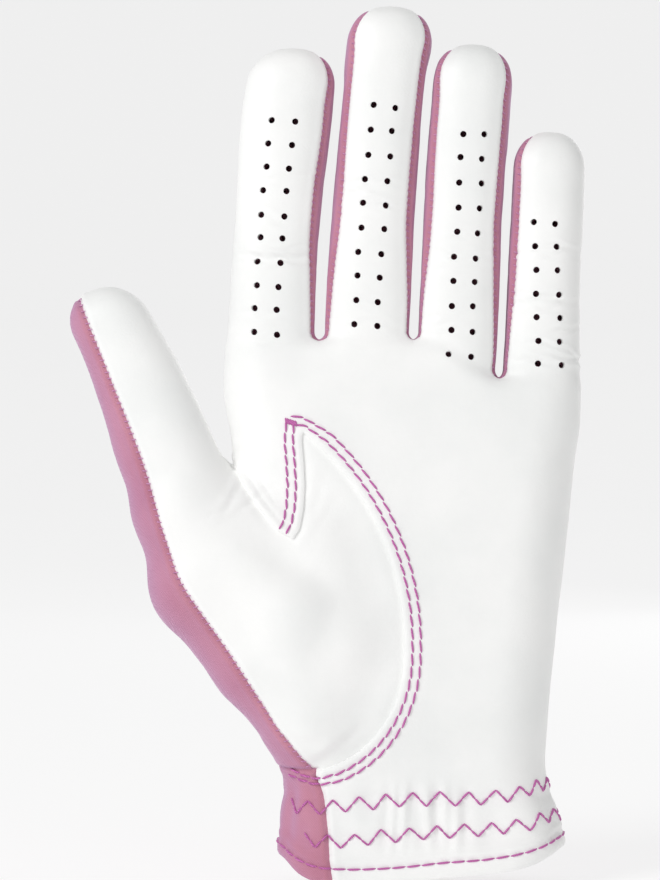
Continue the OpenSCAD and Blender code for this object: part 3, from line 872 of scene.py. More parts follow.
def relief(panel, p, to_seam, to_crest):
    """Height of a panel's surface above the skin."""
    height = 0.16 * noise(p, 26, 3) + 0.05 * noise(p, 9, 4)
    scallop = 0.14 * np.sin(2 * math.pi * (p[:, 2] + 0.3 * p[:, 0]) / SEAM_PITCH)
    height -= (0.55 + scallop * 0.5) * np.exp(-(to_seam / 0.62) ** 2)
    height += 0.16 * np.exp(-((to_seam - 1.5) / 0.8) ** 2)
    leather = panel in (PALM, THUMB_LEATHER)
    if leather:
        height += creases(p, CREASES) + web_folds(p)
    if panel == PALM:
        lap = np.exp(-(to_crest / 5.5) ** 2) * 0.5 * (to_crest < 40)
        height += lap - 0.28 * np.exp(-(to_crest / 0.35) ** 2)
        for row in CREST_ROWS:
            height -= 0.17 * np.exp(-((to_crest - row) / 0.45) ** 2)
    if panel == THUMB_LEATHER:
        height -= 0.35 * np.exp(-(to_crest / 1.6) ** 2)
    cuff = smoothstep((30 - p[:, 2]) / 6)
    height += cuff * gathers(p)
    hem = hem_side(p)
    height += 0.35 * smoothstep((6.4 - hem) / 1.2) - 0.3 * np.exp(-((hem - 3.9) / 0.5) ** 2)
    height -= 0.3 * np.exp(-(hem / 0.4) ** 2)
    return height


def seam_points(skin, panel):
    """Points on the seams between panels: every pair's edges, with the two panels' numbers."""
    edges, of_tri = edges_of(skin.tris)
    first = np.full(len(edges), -1)
    last = np.full(len(edges), -1)
    flat = of_tri.reshape(-1)
    labels = np.repeat(panel, 3)
    first[flat[::-1]] = labels[::-1]
    last[flat] = labels
    shared = (first >= 0) & (first != last)
    return edges[shared], np.sort(np.stack([first[shared], last[shared]], 1), axis=1)


# ---------------------------------------------------------------- turning arrays into pieces
def make_piece(name, points, faces, material, normals=None):
    """A mesh object from points in millimetres and a list of face arrays of equal sizes."""
    mesh = bpy.data.meshes.new(name)
    sizes = np.concatenate([np.full(len(f), f.shape[1]) for f in faces])
    loops = np.concatenate([f.reshape(-1) for f in faces]).astype(np.int32)
    mesh.vertices.add(len(points))
    mesh.vertices.foreach_set("co", (np.asarray(points) * MM).astype(np.float32).reshape(-1))
    mesh.loops.add(len(loops))
    mesh.loops.foreach_set("vertex_index", loops)
    mesh.polygons.add(len(sizes))
    mesh.polygons.foreach_set("loop_start", np.concatenate([[0], np.cumsum(sizes)[:-1]]).astype(np.int32))
    mesh.update(calc_edges=True)
    mesh.polygons.foreach_set("use_smooth", np.ones(len(sizes), bool))
    mesh.validate()
    if normals is not None and len(normals) == len(mesh.loops):
        mesh.normals_split_custom_set([tuple(n) for n in normals])
    mesh.materials.append(material)
    obj = bpy.data.objects.new(name, mesh)
    bpy.context.scene.collection.objects.link(obj)
    return obj


def sheet(name, outer, inner, tris, normals, material):
    """A closed piece of material between an outer and an inner surface that share their triangles."""
    used, local = np.unique(tris, return_inverse=True)
    tris = local.reshape(-1, 3)
    n = len(used)
    points = np.concatenate([outer[used], inner[used]])
    directed = np.concatenate([tris[:, [0, 1]], tris[:, [1, 2]], tris[:, [2, 0]]])
    keys = directed[:, 0].astype(np.int64) * n + directed[:, 1]
    back = directed[:, 1].astype(np.int64) * n + directed[:, 0]
    rim = directed[~np.isin(keys, back)]
    quads = np.stack([rim[:, 1], rim[:, 0], rim[:, 0] + n, rim[:, 1] + n], 1)
    below = tris[:, ::-1] + n
    a, b, d = points[quads[:, 0]], points[quads[:, 1]], points[quads[:, 3]]
    rim_normal = unit(np.cross(b - a, d - a))
    loop_normals = np.concatenate([
        normals[used][tris.reshape(-1)],
        -normals[used][tris[:, ::-1].reshape(-1)],
        np.repeat(rim_normal, 4, axis=0),
    ])
    return make_piece(name, points, [tris, below, quads], material, loop_normals)


# ---------------------------------------------------------------- materials
def new_material(name):
    mat = bpy.data.materials.new(name)
    mat.use_nodes = True
    nodes, links = mat.node_tree.nodes, mat.node_tree.links
    return mat, nodes, links, nodes["Principled BSDF"]


def leather_material():
    """Smooth white leather: fine pores, faint cloudiness and a soft sheen."""
    mat, nodes, links, shader = new_material("white_leather")
    coords = nodes.new("ShaderNodeTexCoord")
    clouds = nodes.new("ShaderNodeTexNoise")
    clouds.inputs["Scale"].default_value = 38
    clouds.inputs["Detail"].default_value = 4
    ramp = nodes.new("ShaderNodeValToRGB")
    ramp.color_ramp.elements[0].color = (0.885, 0.895, 0.885, 1)
    ramp.color_ramp.elements[1].color = (0.955, 0.955, 0.945, 1)
    ramp.color_ramp.elements[0].position = 0.3
    ramp.color_ramp.elements[1].position = 0.62
    links.new(coords.outputs["Object"], clouds.inputs["Vector"])
    links.new(clouds.outputs["Fac"], ramp.inputs["Fac"])
    links.new(ramp.outputs["Color"], shader.inputs["Base Color"])
    pores = nodes.new("ShaderNodeTexVoronoi")
    pores.inputs["Scale"].default_value = 1500
    grain = nodes.new("ShaderNodeTexNoise")
    grain.inputs["Scale"].default_value = 420
    grain.inputs["Detail"].default_value = 6
    mix = nodes.new("ShaderNodeMath")
    mix.operation = "MULTIPLY_ADD"
    mix.inputs[1].default_value = 0.5
    links.new(coords.outputs["Object"], pores.inputs["Vector"])
    links.new(coords.outputs["Object"], grain.inputs["Vector"])
    links.new(pores.outputs["Distance"], mix.inputs[0])
    links.new(grain.outputs["Fac"], mix.inputs[2])
    bump = nodes.new("ShaderNodeBump")
    bump.inputs["Strength"].default_value = 0.22
    bump.inputs["Distance"].default_value = 0.0002
    links.new(mix.outputs[0], bump.inputs["Height"])
    links.new(bump.outputs["Normal"], shader.inputs["Normal"])
    shader.inputs["Roughness"].default_value = 0.48
    shader.inputs["Specular IOR Level"].default_value = 0.35
    shader.inputs["Sheen Weight"].default_value = 0.12
    shader.inputs["Sheen Roughness"].default_value = 0.4
    return mat


def fabric_material(name, dark, light, edge, scale=2100):
    """Knitted stretch fabric: a fine twill of crossing ribs with slight colour variation. The colour edge
    is a painted sheen, mixed in where the surface turns away from the camera.
    """
    mat, nodes, links, shader = new_material(name)
    coords = nodes.new("ShaderNodeTexCoord")
    ribs = []
    for turn in (38, -52):
        place = nodes.new("ShaderNodeMapping")
        place.inputs["Rotation"].default_value = (0.3, math.radians(turn), 0)
        wave = nodes.new("ShaderNodeTexWave")
        wave.bands_direction = "Z"
        wave.inputs["Scale"].default_value = scale / 2.6
        wave.inputs["Distortion"].default_value = 1.5
        wave.inputs["Detail"].default_value = 1
        links.new(coords.outputs["Object"], place.inputs["Vector"])
        links.new(place.outputs["Vector"], wave.inputs["Vector"])
        ribs.append(wave)
    weave = nodes.new("ShaderNodeMath")
    weave.operation = "MULTIPLY"
    links.new(ribs[0].outputs["Fac"], weave.inputs[0])
    links.new(ribs[1].outputs["Fac"], weave.inputs[1])
    clouds = nodes.new("ShaderNodeTexNoise")
    clouds.inputs["Scale"].default_value = 60
    clouds.inputs["Detail"].default_value = 3
    links.new(coords.outputs["Object"], clouds.inputs["Vector"])
    total = nodes.new("ShaderNodeMath")
    total.operation = "MULTIPLY_ADD"
    total.inputs[1].default_value = 0.35
    links.new(weave.outputs[0], total.inputs[0])
    links.new(clouds.outputs["Fac"], total.inputs[2])
    ramp = nodes.new("ShaderNodeValToRGB")
    ramp.color_ramp.elements[0].color = (*dark, 1)
    ramp.color_ramp.elements[1].color = (*light, 1)
    ramp.color_ramp.elements[0].position = 0.3
    ramp.color_ramp.elements[1].position = 1.0
    links.new(total.outputs[0], ramp.inputs["Fac"])
    # Painted sheen: the colour goes over to edge where the surface turns away from the camera
    facing = nodes.new("ShaderNodeLayerWeight")
    facing.inputs["Blend"].default_value = 0.45
    painted_sheen_mix = nodes.new("ShaderNodeMix")
    painted_sheen_mix.data_type = "RGBA"
    painted_sheen_mix.inputs[7].default_value = (*edge, 1)
    links.new(facing.outputs["Facing"], painted_sheen_mix.inputs["Factor"])
    links.new(ramp.outputs["Color"], painted_sheen_mix.inputs[6])
    links.new(painted_sheen_mix.outputs[2], shader.inputs["Base Color"])
    bump = nodes.new("ShaderNodeBump")
    bump.inputs["Strength"].default_value = 0.5
    bump.inputs["Distance"].default_value = 0.0002
    links.new(weave.outputs[0], bump.inputs["Height"])
    links.new(bump.outputs["Normal"], shader.inputs["Normal"])
    shader.inputs["Roughness"].default_value = 0.8
    shader.inputs["Specular IOR Level"].default_value = 0.2
    shader.inputs["Sheen Weight"].default_value = 0.35
    return mat


def thread_material(name, dark, light):
    """Twisted sewing thread."""
    mat, nodes, links, shader = new_material(name)
    coords = nodes.new("ShaderNodeTexCoord")
    twist = nodes.new("ShaderNodeTexWave")
    twist.bands_direction = "DIAGONAL"
    twist.inputs["Scale"].default_value = 1100
    ramp = nodes.new("ShaderNodeValToRGB")
    ramp.color_ramp.elements[0].color = (*dark, 1)
    ramp.color_ramp.elements[1].color = (*light, 1)
    links.new(coords.outputs["Object"], twist.inputs["Vector"])
    links.new(twist.outputs["Fac"], ramp.inputs["Fac"])
    links.new(ramp.outputs["Color"], shader.inputs["Base Color"])
    shader.inputs["Roughness"].default_value = 0.55
    shader.inputs["Sheen Weight"].default_value = 0.2
    return mat


white_leather = leather_material()
# Each fabric's last colour is its painted sheen, shown where the surface turns away from the camera
pink_fabric = fabric_material(
    "dusty_pink_fabric", dark=(0.50, 0.19, 0.27), light=(0.69, 0.32, 0.41), edge=(0.52, 0.24, 0.46)
)
white_elastic = fabric_material("white_elastic", (0.72,) * 3, (0.9,) * 3, (0.8,) * 3, 900)
fuzzy_patch = fabric_material("fuzzy_patch", (0.6, 0.5, 0.55), (0.8, 0.7, 0.75), (0.7, 0.6, 0.66), 700)
thread = thread_material("magenta_thread", (0.40, 0.075, 0.29), (0.66, 0.18, 0.50))
rose_thread = thread_material("rose_thread", (0.48, 0.18, 0.38), (0.66, 0.32, 0.55))
PANEL_MATERIAL = (white_leather, pink_fabric, pink_fabric, white_leather, pink_fabric)


# ---------------------------------------------------------------- pieces and their zones
def zone_bend(zone):
    """The two bodies a zone bends between, and the stretch it bends over, or None for the palm."""
    if zone == 0:
        return None
    if zone == 13:
        reach = thumb.root_along * 5.5
        return "palm", "thumb_base", thumb.root - reach * 1.1, thumb.root + reach * 0.9
    if zone == 14:
        reach = thumb.along * 8.5
        return "thumb_base", "thumb_tip", thumb.origin - reach, thumb.origin + reach
    k, n = divmod(zone - 1, 3)
    f = finger_shapes[k]
    bodies = ("palm", f"{f.name}_base", f"{f.name}_middle", f"{f.name}_tip")
    start, end = f.cuts()[1][n]
    return bodies[n], bodies[n + 1], f.point(start), f.point(end)


def attach(obj, zone):
    """Fixes a palm-zone piece to the palm's body; a piece of any other zone only has its placement baked
    into its points.
    """
    bend = zone_bend(zone)
    if bend is None:
        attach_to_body(obj, "palm")
    else:
        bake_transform(obj)


FINGER_ZONES = [f"{f}_{part}" for f in FINGERS for part in ("root", "mid", "end")]
ZONE_NAMES = ["palm"] + FINGER_ZONES + ["thumb_low", "thumb_high"]


def replaced_nodes(panel, zone):
    """CAD nodes that a panel's zone stands for."""
    if zone == 0:
        return {
            PALM: ("palm_panel", "palm_hem"),
            BACK: ("back_panel", "back_hem"),
            STRIP: ("crotch_fourchettes",),
        }[panel]
    if zone == 13:
        side = "front" if panel == THUMB_LEATHER else "back"
        return (f"thumb_{side}_root", f"thumb_{side}_base")
    if zone == 14:
        return ("thumb_front_tip",) if panel == THUMB_LEATHER else ("thumb_back_tip",)
    k, n = divmod(zone - 1, 3)
    finger, part = FINGERS[k], ("base", "middle", "tip")[n]
    strip = "fourchette" if finger in ("index", "little") else "fourchettes"
    return (f"{finger}_{ {PALM: 'front', BACK: 'back', STRIP: strip}[panel] }_{part}",)


def build_panels(skin, panel, zone):
    """Builds every panel's pieces and returns the panels' outer surfaces."""
    seam_edges, pairs = seam_points(skin, panel)
    middle_y = skin.points[seam_edges].mean(1)[:, 1]
    crest = (pairs[:, 0] == PALM) & (pairs[:, 1] == THUMB_LEATHER) & (middle_y < -5)
    surfaces = []
    for number, name in enumerate(PANELS):
        mine = panel == number
        used, local = np.unique(skin.tris[mine], return_inverse=True)
        tris = local.reshape(-1, 3)
        p = skin.points[used]
        touching = (pairs == number).any(1)
        to_crest = nearest_distance(p, skin.points[np.unique(seam_edges[crest & touching])])
        to_seam = nearest_distance(p, skin.points[np.unique(seam_edges[~crest & touching])])
        n = outward(p)
        outer = p + n * relief(number, p, to_seam, to_crest)[:, None]
        inner = outer - n * LEATHER
        normals = vertex_normals(outer, tris)
        surfaces.append(BVHTree.FromPolygons([Vector(q) for q in outer], tris.tolist()))
        for z in np.unique(zone[mine]):
            part = tris[zone[mine] == z]
            piece = sheet(f"{name}_{ZONE_NAMES[z]}", outer, inner, part, normals, PANEL_MATERIAL[number])
            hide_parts(*replaced_nodes(number, z))
            attach(piece, z)
    return surfaces, seam_edges, pairs


# ---------------------------------------------------------------- laying things on the glove
def march(origins, directions, reach=60.0, step=0.5):
    """Where rays first enter the filled hand shape."""
    at = np.full(len(origins), reach)
    for t in np.arange(0, reach, step):
        inside = hand_volume(origins + directions * t) > 0
        at = np.where(inside & (at == reach), t, at)
    return settle(origins + directions * at[:, None], 3)


class Ground:
    """All the panels' outer surfaces together, for laying thread and patches on them."""

    def __init__(self, surfaces):
        self.surfaces = surfaces

    def lay(self, p):
        """Moves points from the smooth skin out onto the panels, and gives the outward directions."""
        n = outward(p)
        lift = np.zeros(len(p))
        for k, q in enumerate(p):
            hit = min((tree.find_nearest(Vector(q)) for tree in self.surfaces), key=lambda h: h[3])
            lift[k] = (np.array(hit[0]) - q) @ n[k]
        return p + n * lift[:, None], n

    def front(self, line):
        """A line in X and Z laid on the front."""
        line = densify(line)
        origins = np.stack([line[:, 0], np.full(len(line), -30.0), line[:, 1]], 1)
        return self.lay(march(origins, np.tile([0.0, 1.0, 0.0], (len(line), 1))))

    def back(self, x, z):
        """Places on the back for arrays of X and Z."""
        origins = np.stack([x, np.full(len(x), 30.0), z], 1)
        return self.lay(march(origins, np.tile([0.0, -1.0, 0.0], (len(x), 1))))

    def cuff(self, line):
        """A line of places round the cuff: distance from the middle of the front, and height."""
        line = densify(line)
        s, z = line.T
        turn = np.maximum(np.abs(s) - CUFF_FLAT, 0) / CUFF_ROUND
        out_x, out_y = np.sign(s) * np.sin(turn), -np.cos(turn)
        middle_x = CUFF_MIDDLE + np.clip(s, -CUFF_FLAT, CUFF_FLAT)
        out = np.stack([out_x, out_y, np.zeros(len(s))], 1)
        centre = np.stack([middle_x, np.zeros(len(s)), z], 1)
        return self.lay(march(centre + out * 30, -out))


def cuff_place(x):
    """Distance round the cuff from the middle of its front to the place seen at x from the front."""
    x = np.asarray(x, float) - CUFF_MIDDLE
    beyond = np.clip((np.abs(x) - CUFF_FLAT) / CUFF_ROUND, 0, 1)
    return np.sign(x) * (np.minimum(np.abs(x), CUFF_FLAT) + CUFF_ROUND * np.arcsin(beyond))


# ---------------------------------------------------------------- thread
def stitches(path, normals, pitch, cover=0.9, sway=0.0, sink=0.1, radius=THREAD_R):
    """Cuts a laid path into stitches that hump up from the material and dip into it at both ends."""
    run = np.concatenate([[0], np.cumsum(np.linalg.norm(np.diff(path, axis=0), axis=1))])
    count = max(1, int(round(run[-1] / pitch)))
    pitch = run[-1] / count
    t = np.linspace(0, 1, STITCH_STEPS)
    hump = np.sin(np.pi * t) ** 0.45
    out = []
    for k in range(count):
        at = (k + (1 - cover) / 2 + cover * t) * pitch
        p = np.stack([np.interp(at, run, path[:, c]) for c in range(3)], 1)
        n = unit(np.stack([np.interp(at, run, normals[:, c]) for c in range(3)], 1))
        side = unit(np.cross(n, np.gradient(p, axis=0)))
        p = p + n * ((radius * 0.7 + sink) * hump - sink)[:, None] + side * (sway * (2 * t - 1))[:, None]
        out.append((p, n))
    return out


def strands(name, parts, material, radius=THREAD_R, flat=1.0, sides=6):
    """One mesh of many short round strands with rounded ends."""
    paths = np.array([p for p, n in parts])
    normals = np.array([n for p, n in parts])
    count, steps, _ = paths.shape
    along = unit(np.gradient(paths, axis=1))
    side = unit(np.cross(normals, along))
    up = np.cross(along, side)
    swell = radius * (1 - 0.5 * np.linspace(-1, 1, steps) ** 6)
    angles = np.linspace(0, 2 * math.pi, sides, endpoint=False)
    cos, sin = np.cos(angles)[:, None], np.sin(angles)[:, None]
    ring = up[:, :, None] * cos * flat + side[:, :, None] * sin
    points = paths[:, :, None] + swell[None, :, None, None] * ring
    cap = radius * 0.4
    ends = np.stack([paths[:, 0] - along[:, 0] * cap, paths[:, -1] + along[:, -1] * cap], 1)
    index = np.arange(count * steps * sides).reshape(count, steps, sides)
    turned = np.roll(index, -1, axis=2)
    walls = np.stack([index[:, :-1], turned[:, :-1], turned[:, 1:], index[:, 1:]], -1).reshape(-1, 4)
    tips = count * steps * sides + np.arange(count * 2).reshape(count, 2)
    low = np.stack([turned[:, 0], index[:, 0], np.repeat(tips[:, :1], sides, 1)], -1).reshape(-1, 3)
    high = np.stack([index[:, -1], turned[:, -1], np.repeat(tips[:, 1:], sides, 1)], -1).reshape(-1, 3)
    points = np.concatenate([points.reshape(-1, 3), ends.reshape(-1, 3)])
    return make_piece(name, points, [walls, np.concatenate([low, high])], material)


def sew_crescent(ground):
    """Two rows round the half-moon seam and down its leg, joined by a bar tack at the top."""
    parts = []
    turns = ((APEX + (-1.4, 1.6), APEX + (0.6, 1.2)), (APEX + (-2.6, 3.6), APEX + (0.4, 3.0)))
    on_fabric = (
        ((-24.1, 24.5), (-27.2, 25.4), (-30.4, 26.6)),
        ((-23.6, 23.1), (-26.6, 23.8), (-30.6, 25.4)),
    )
    for gap, turn, tail in zip(CREST_ROWS, turns, on_fabric):
        row = offset_line(CRESCENT, gap)[2:-2]
        parts += stitches(*ground.front(np.concatenate([turn, row, tail])), 3.0, 0.97, 0.17)
    for gap, top in ((2.0, APEX + (-1.9, 2.0)), (3.9, APEX + (-3.6, 2.2))):
        leg = offset_line(LEG, gap)[:-1]
        parts += stitches(*ground.front(np.concatenate([leg, [top]])), 2.7, 0.97, 0.15)
    low, high = APEX + (-3.7, 2.4), APEX + (-1.4, 1.7)
    for share in np.linspace(0, 1, 9):
        middle = low + (high - low) * share
        half = np.array([0.12 if round(share * 8) % 2 else -0.12, 0.62])
        parts += stitches(*ground.front([middle - half, middle + half]), 3.0, 1.0)
    piece = strands("thumb_seam_rows", parts, thread)
    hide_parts("thumb_seam_stitching")
    return piece


ZIGZAG_ROWS = (
    (
        (-33, -21, -15, -9, -2, 8, 17, 23, 27.5, 30),
        (17.8, 17.9, 18.7, 19.3, 19.7, 20.0, 20.4, 21.1, 22.0, 22.6),
        -23.7,
    ),
    (
        (-33, -20, -15, -9.5, -4, 4, 14, 20, 25, 30),
        (10.4, 10.1, 10.4, 11.2, 11.7, 12.4, 12.9, 13.3, 13.9, 15.3),
        -18.6,
    ),
)                        # X along each row, the row's middle height there, and X of one low corner
ZIGZAG_RISE = 1.6        # from the row's middle height to a corner
ZIGZAG_STEP = 3.15       # from one corner to the next round the cuff


def sew_zigzags(ground):
    """Two zigzag rows over the elastic, each stroke sewn in two stitches."""
    parts = []
    for xs, heights, first in ZIGZAG_ROWS:
        start = cuff_place(first)
        s = start + ZIGZAG_STEP * np.arange(-3, 22)
        s = s[np.abs(s) < CUFF_FLAT + 24]
        s = s + rng.uniform(-0.25, 0.25, len(s))
        x = np.clip(CUFF_MIDDLE + s, -30, 30)
        low = np.abs(np.round((s - start) / ZIGZAG_STEP)) % 2 == 0
        z = np.interp(x, xs, heights) + np.where(low, -ZIGZAG_RISE, ZIGZAG_RISE)
        z = z + rng.uniform(-0.2, 0.2, len(s))
        for a, b in zip(zip(s, z), zip(s[1:], z[1:])):
            path, normals = ground.cuff([a, b])
            parts += stitches(path, normals, 2.2, 0.98, rng.uniform(-0.05, 0.05), sink=0.06)
    piece = strands("zigzag_rows", parts, thread)
    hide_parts("zigzag_stitching")
    return piece


HEM_ROW = 3.5            # height of the hem's stitch row above its edge


def sew_hem(ground):
    """The running row that holds the turned hem."""
    s = np.linspace(-CUFF_FLAT - 24, CUFF_FLAT + 24, 120)
    x = CUFF_MIDDLE + np.clip(s, -CUFF_FLAT, CUFF_FLAT)
    turn = np.maximum(np.abs(s) - CUFF_FLAT, 0) / CUFF_ROUND
    x = x + np.sign(s) * CUFF_ROUND * np.sin(turn)
    y = -CUFF_ROUND * np.cos(turn)
    edge = -hem_side(np.stack([x, y, np.zeros(len(s))], 1))
    parts = stitches(*ground.cuff(np.stack([s, edge + HEM_ROW], 1)), 3.4, 0.93, 0.05)
    piece = strands("hem_row", parts, thread)
    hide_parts("hem_stitching")
    return piece


def seam_crossings(skin, edges, value, pitch):
    """Places where seam edges pass whole multiples of pitch in a value, with the seam's direction."""
    a, b = value[edges[:, 0]], value[edges[:, 1]]
    level = np.ceil(np.minimum(a, b) / pitch) * pitch
    hit = (level < np.maximum(a, b)) & (np.abs(a - b) > 1e-6)
    a, b, level, edges = a[hit], b[hit], level[hit], edges[hit]
    t = ((level - a) / (b - a))[:, None]
    p, q = skin.points[edges[:, 0]], skin.points[edges[:, 1]]
    return p + (q - p) * t, unit(q - p) * np.sign(b - a)[:, None], level


def overcast(ground, place, along):
    """Short slanted stitches across a seam."""
    normal = outward(place)
    across = unit(np.cross(normal, along))
    t = np.linspace(-1, 1, STITCH_STEPS)
    half = across * 0.62 + along * 0.22
    points = (place[:, None] + half[:, None] * t[None, :, None]).reshape(-1, 3)
    laid, n = ground.lay(settle(points, 1))
    hump = np.tile(0.2 * (1 - t ** 2) - 0.06 * t ** 8, len(place))
    laid = (laid + n * hump[:, None]).reshape(len(place), STITCH_STEPS, 3)
    n = n.reshape(len(place), STITCH_STEPS, 3)
    return list(zip(laid, n))


def sew_seams(ground, skin, edges, pairs):
    """Overcast stitches along every finger and thumb seam, one piece for each bending part."""
    which, u, w, _ = finger_places(skin.points)
    on_thumb = (pairs[:, 0] == THUMB_LEATHER) & (pairs[:, 1] == THUMB_FABRIC)
    on_finger = ~on_thumb & (pairs[:, 1] < THUMB_LEATHER) & (skin.points[edges].mean(1)[:, 2] > 60)
    groups = {}

    def add(zone_of, parts, levels):
        for part, level in zip(parts, levels):
            groups.setdefault(zone_of(level), []).append(part)

    for k, f in enumerate(finger_shapes):
        mine = edges[on_finger & (which[edges] == k).all(1)]
        place, along, level = seam_crossings(skin, mine, w, SEAM_PITCH)
        heights = f.cuts()[0]
        parts = overcast(ground, place, along)
        add(lambda v: 0 if v < heights[0] else 3 * k + int(np.searchsorted(heights, v)), parts, level)
    along_thumb = thumb.local(skin.points)[2]
    place, along, level = seam_crossings(skin, edges[on_thumb], along_thumb, SEAM_PITCH)
    add(lambda v: 14 if v > THUMB_CUT else 13, overcast(ground, place, along), level)
    for z, parts in sorted(groups.items()):
        attach(strands(f"seam_stitches_{ZONE_NAMES[z]}", parts, rose_thread, 0.15, 1.0, 5), z)


# ---------------------------------------------------------------- cuff and closure
def grid_sheet(name, outer, inner, material):
    """A closed sheet between two grids of points."""
    rows, columns = outer.shape[:2]
    index = np.arange(rows * columns).reshape(rows, columns)
    corners = [index[:-1, :-1], index[1:, :-1], index[1:, 1:], index[:-1, 1:]]
    top = np.stack(corners, -1).reshape(-1, 4)
    rim = np.concatenate([index[:, 0], index[-1, 1:], index[-2::-1, -1], index[0, -2:0:-1]])
    follow = np.roll(rim, -1)
    shift = rows * columns
    walls = np.stack([rim, rim + shift, follow + shift, follow], 1)
    points = np.concatenate([outer.reshape(-1, 3), inner.reshape(-1, 3)])
    return make_piece(name, points, [np.concatenate([top, top[:, ::-1] + shift, walls])], material)


def build_elastic():
    """The band of elastic inside the gathered front of the wrist."""
    lo, hi = node_box("cuff_elastic")
    s = np.linspace(-CUFF_FLAT - 16, CUFF_FLAT + 16, 90)
    z = np.linspace(lo[2], hi[2], 14)
    grid_s, grid_z = np.meshgrid(s, z, indexing="ij")
    turn = np.maximum(np.abs(grid_s) - CUFF_FLAT, 0) / CUFF_ROUND
    out = np.stack([np.sign(grid_s) * np.sin(turn), -np.cos(turn), np.zeros_like(turn)], -1)
    middle_x = CUFF_MIDDLE + np.clip(grid_s, -CUFF_FLAT, CUFF_FLAT)
    centre = np.stack([middle_x, np.zeros_like(turn), grid_z], -1)
    skin_at = march((centre + out * 30).reshape(-1, 3), -out.reshape(-1, 3))
    n = outward(skin_at)
    ribs = 0.12 * np.sin(grid_z.reshape(-1) * 2 * math.pi / 1.6)
    outer = skin_at - n * (ELASTIC_GAP - ribs)[:, None]
    inner = skin_at - n * (ELASTIC_IN + ribs)[:, None]
    shape = grid_s.shape + (3,)
    piece = grid_sheet("elastic_band", outer.reshape(shape), inner.reshape(shape), white_elastic)
    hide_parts("cuff_elastic")
    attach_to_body(piece, "palm")


def build_binding(ground):
    """Leather binding round the slit: a flat rounded bead folded over its edge."""
    foot = HEM_BACK + 0.2
    left = [(SLIT_X - SLIT_HALF - 0.7, z) for z in (foot, SLIT_TOP)]
    right = [(SLIT_X + SLIT_HALF + 0.7, z) for z in (SLIT_TOP, foot)]
    top = arc(SLIT_X, SLIT_TOP, SLIT_HALF + 0.7, SLIT_HALF + 0.7, 180, 0, 13)
    line = densify(np.concatenate([left, top, right]), 0.5)
    place, normal = ground.back(line[:, 0], line[:, 1])
    for _ in range(6):
        place[1:-1] = (place[:-2] + place[1:-1] * 2 + place[2:]) / 4
    piece = strands("slit_binding_leather", [(place - normal * 0.1, normal)], white_leather, 1.5, 0.5, 12)
    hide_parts("slit_binding")
    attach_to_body(piece, "palm")


HINGE = np.array(JOINTS["tab_hinge"]["pos_m"]) / MM
TAB_SEWN = 5.0           # how far the tab runs past its hinge, where it is sewn down


def plate_grid(x0, x1, z0, z1, corner, step=0.7):
    """A grid of X and Z over a plate whose left corners are rounded."""
    x = np.linspace(x0, x1, int((x1 - x0) / step))
    t = np.linspace(-1, 1, int((z1 - z0) / step))
    short = np.maximum(corner - (x - x0), 0)
    half = (z1 - z0) / 2 - corner + np.sqrt(np.maximum(corner ** 2 - short ** 2, 0))
    return np.repeat(x[:, None], len(t), 1), (z0 + z1) / 2 + half[:, None] * t[None]


def layer(ground, name, area, base, thickness, material, crown=0.0, rest=None):
    """A sheet that follows the back at a height; right of the hinge it comes down to the height rest."""
    x, z = plate_grid(*area)
    place, normal = ground.back(x.reshape(-1), z.reshape(-1))
    normal = unit(normal + np.array([0, 2.0, 0]))
    height = np.full(x.size, base)
    if rest is not None:
        height = rest + (base - rest) * smoothstep((HINGE[0] + 2.5 - x.reshape(-1)) / 4)
    wave = 0.10 * noise(place, 14, 77)
    edge_x = np.minimum(x - area[0], area[1] - x).reshape(-1)
    middle_z = (area[2] + area[3]) / 2
    edge_z = (np.abs(z[:, -1] - middle_z)[:, None] - np.abs(z - middle_z)).reshape(-1)
    rounding = crown * (1 - np.sqrt(np.clip(np.minimum(edge_x, edge_z) / 1.4, 0, 1)))
    outer = place + normal * (height + thickness + wave - rounding)[:, None]
    inner = place + normal * (height + wave)[:, None]
    shape = x.shape + (3,)
    return grid_sheet(name, outer.reshape(shape)[:, ::-1], inner.reshape(shape)[:, ::-1], material)


def on_tab(piece, slot, *nodes):
    """A piece of the tab, which on the glove is sewn to the palm right of the hinge and free left of it:
    hides the CAD nodes it stands for and bakes its placement into its points, without attaching it to any
    body.
    """
    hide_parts(*nodes)
    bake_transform(piece)


def node_area(name, corner, extra=0.0):
    lo, hi = node_box(name)
    return lo[0], hi[0] + extra, lo[2], hi[2], corner


def build_closure(ground):
    """Loop patch on the back, and the tab with its hook patch, lining, cover and edge stitching."""
    patch = layer(ground, "loop_patch_pile", node_area("loop_patch", 2), 0.05, 0.75, fuzzy_patch, 0.3)
    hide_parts("loop_patch")
    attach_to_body(patch, "palm")
    hooks = layer(ground, "hook_patch_pile", node_area("hook_patch", 2), 1.05, 0.7, fuzzy_patch, 0.2)
    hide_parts("hook_patch")
    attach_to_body(hooks, "closure_tab")
    lining_area = node_area("tab_lining", 8, TAB_SEWN)
    lining = layer(ground, "tab_lining_fabric", lining_area, 1.85, 0.7, pink_fabric, 0.1, 0.1)
    on_tab(lining, "stretch_fabric", "tab_lining")
    cover_area = node_area("tab_cover", 8, TAB_SEWN)
    cover = layer(ground, "tab_cover_leather", cover_area, 2.6, 0.8, white_leather, 0.45, 0.85)
    on_tab(cover, "leather", "tab_cover")
    on_tab(sew_tab(ground, cover_area), "thread", "tab_stitching")


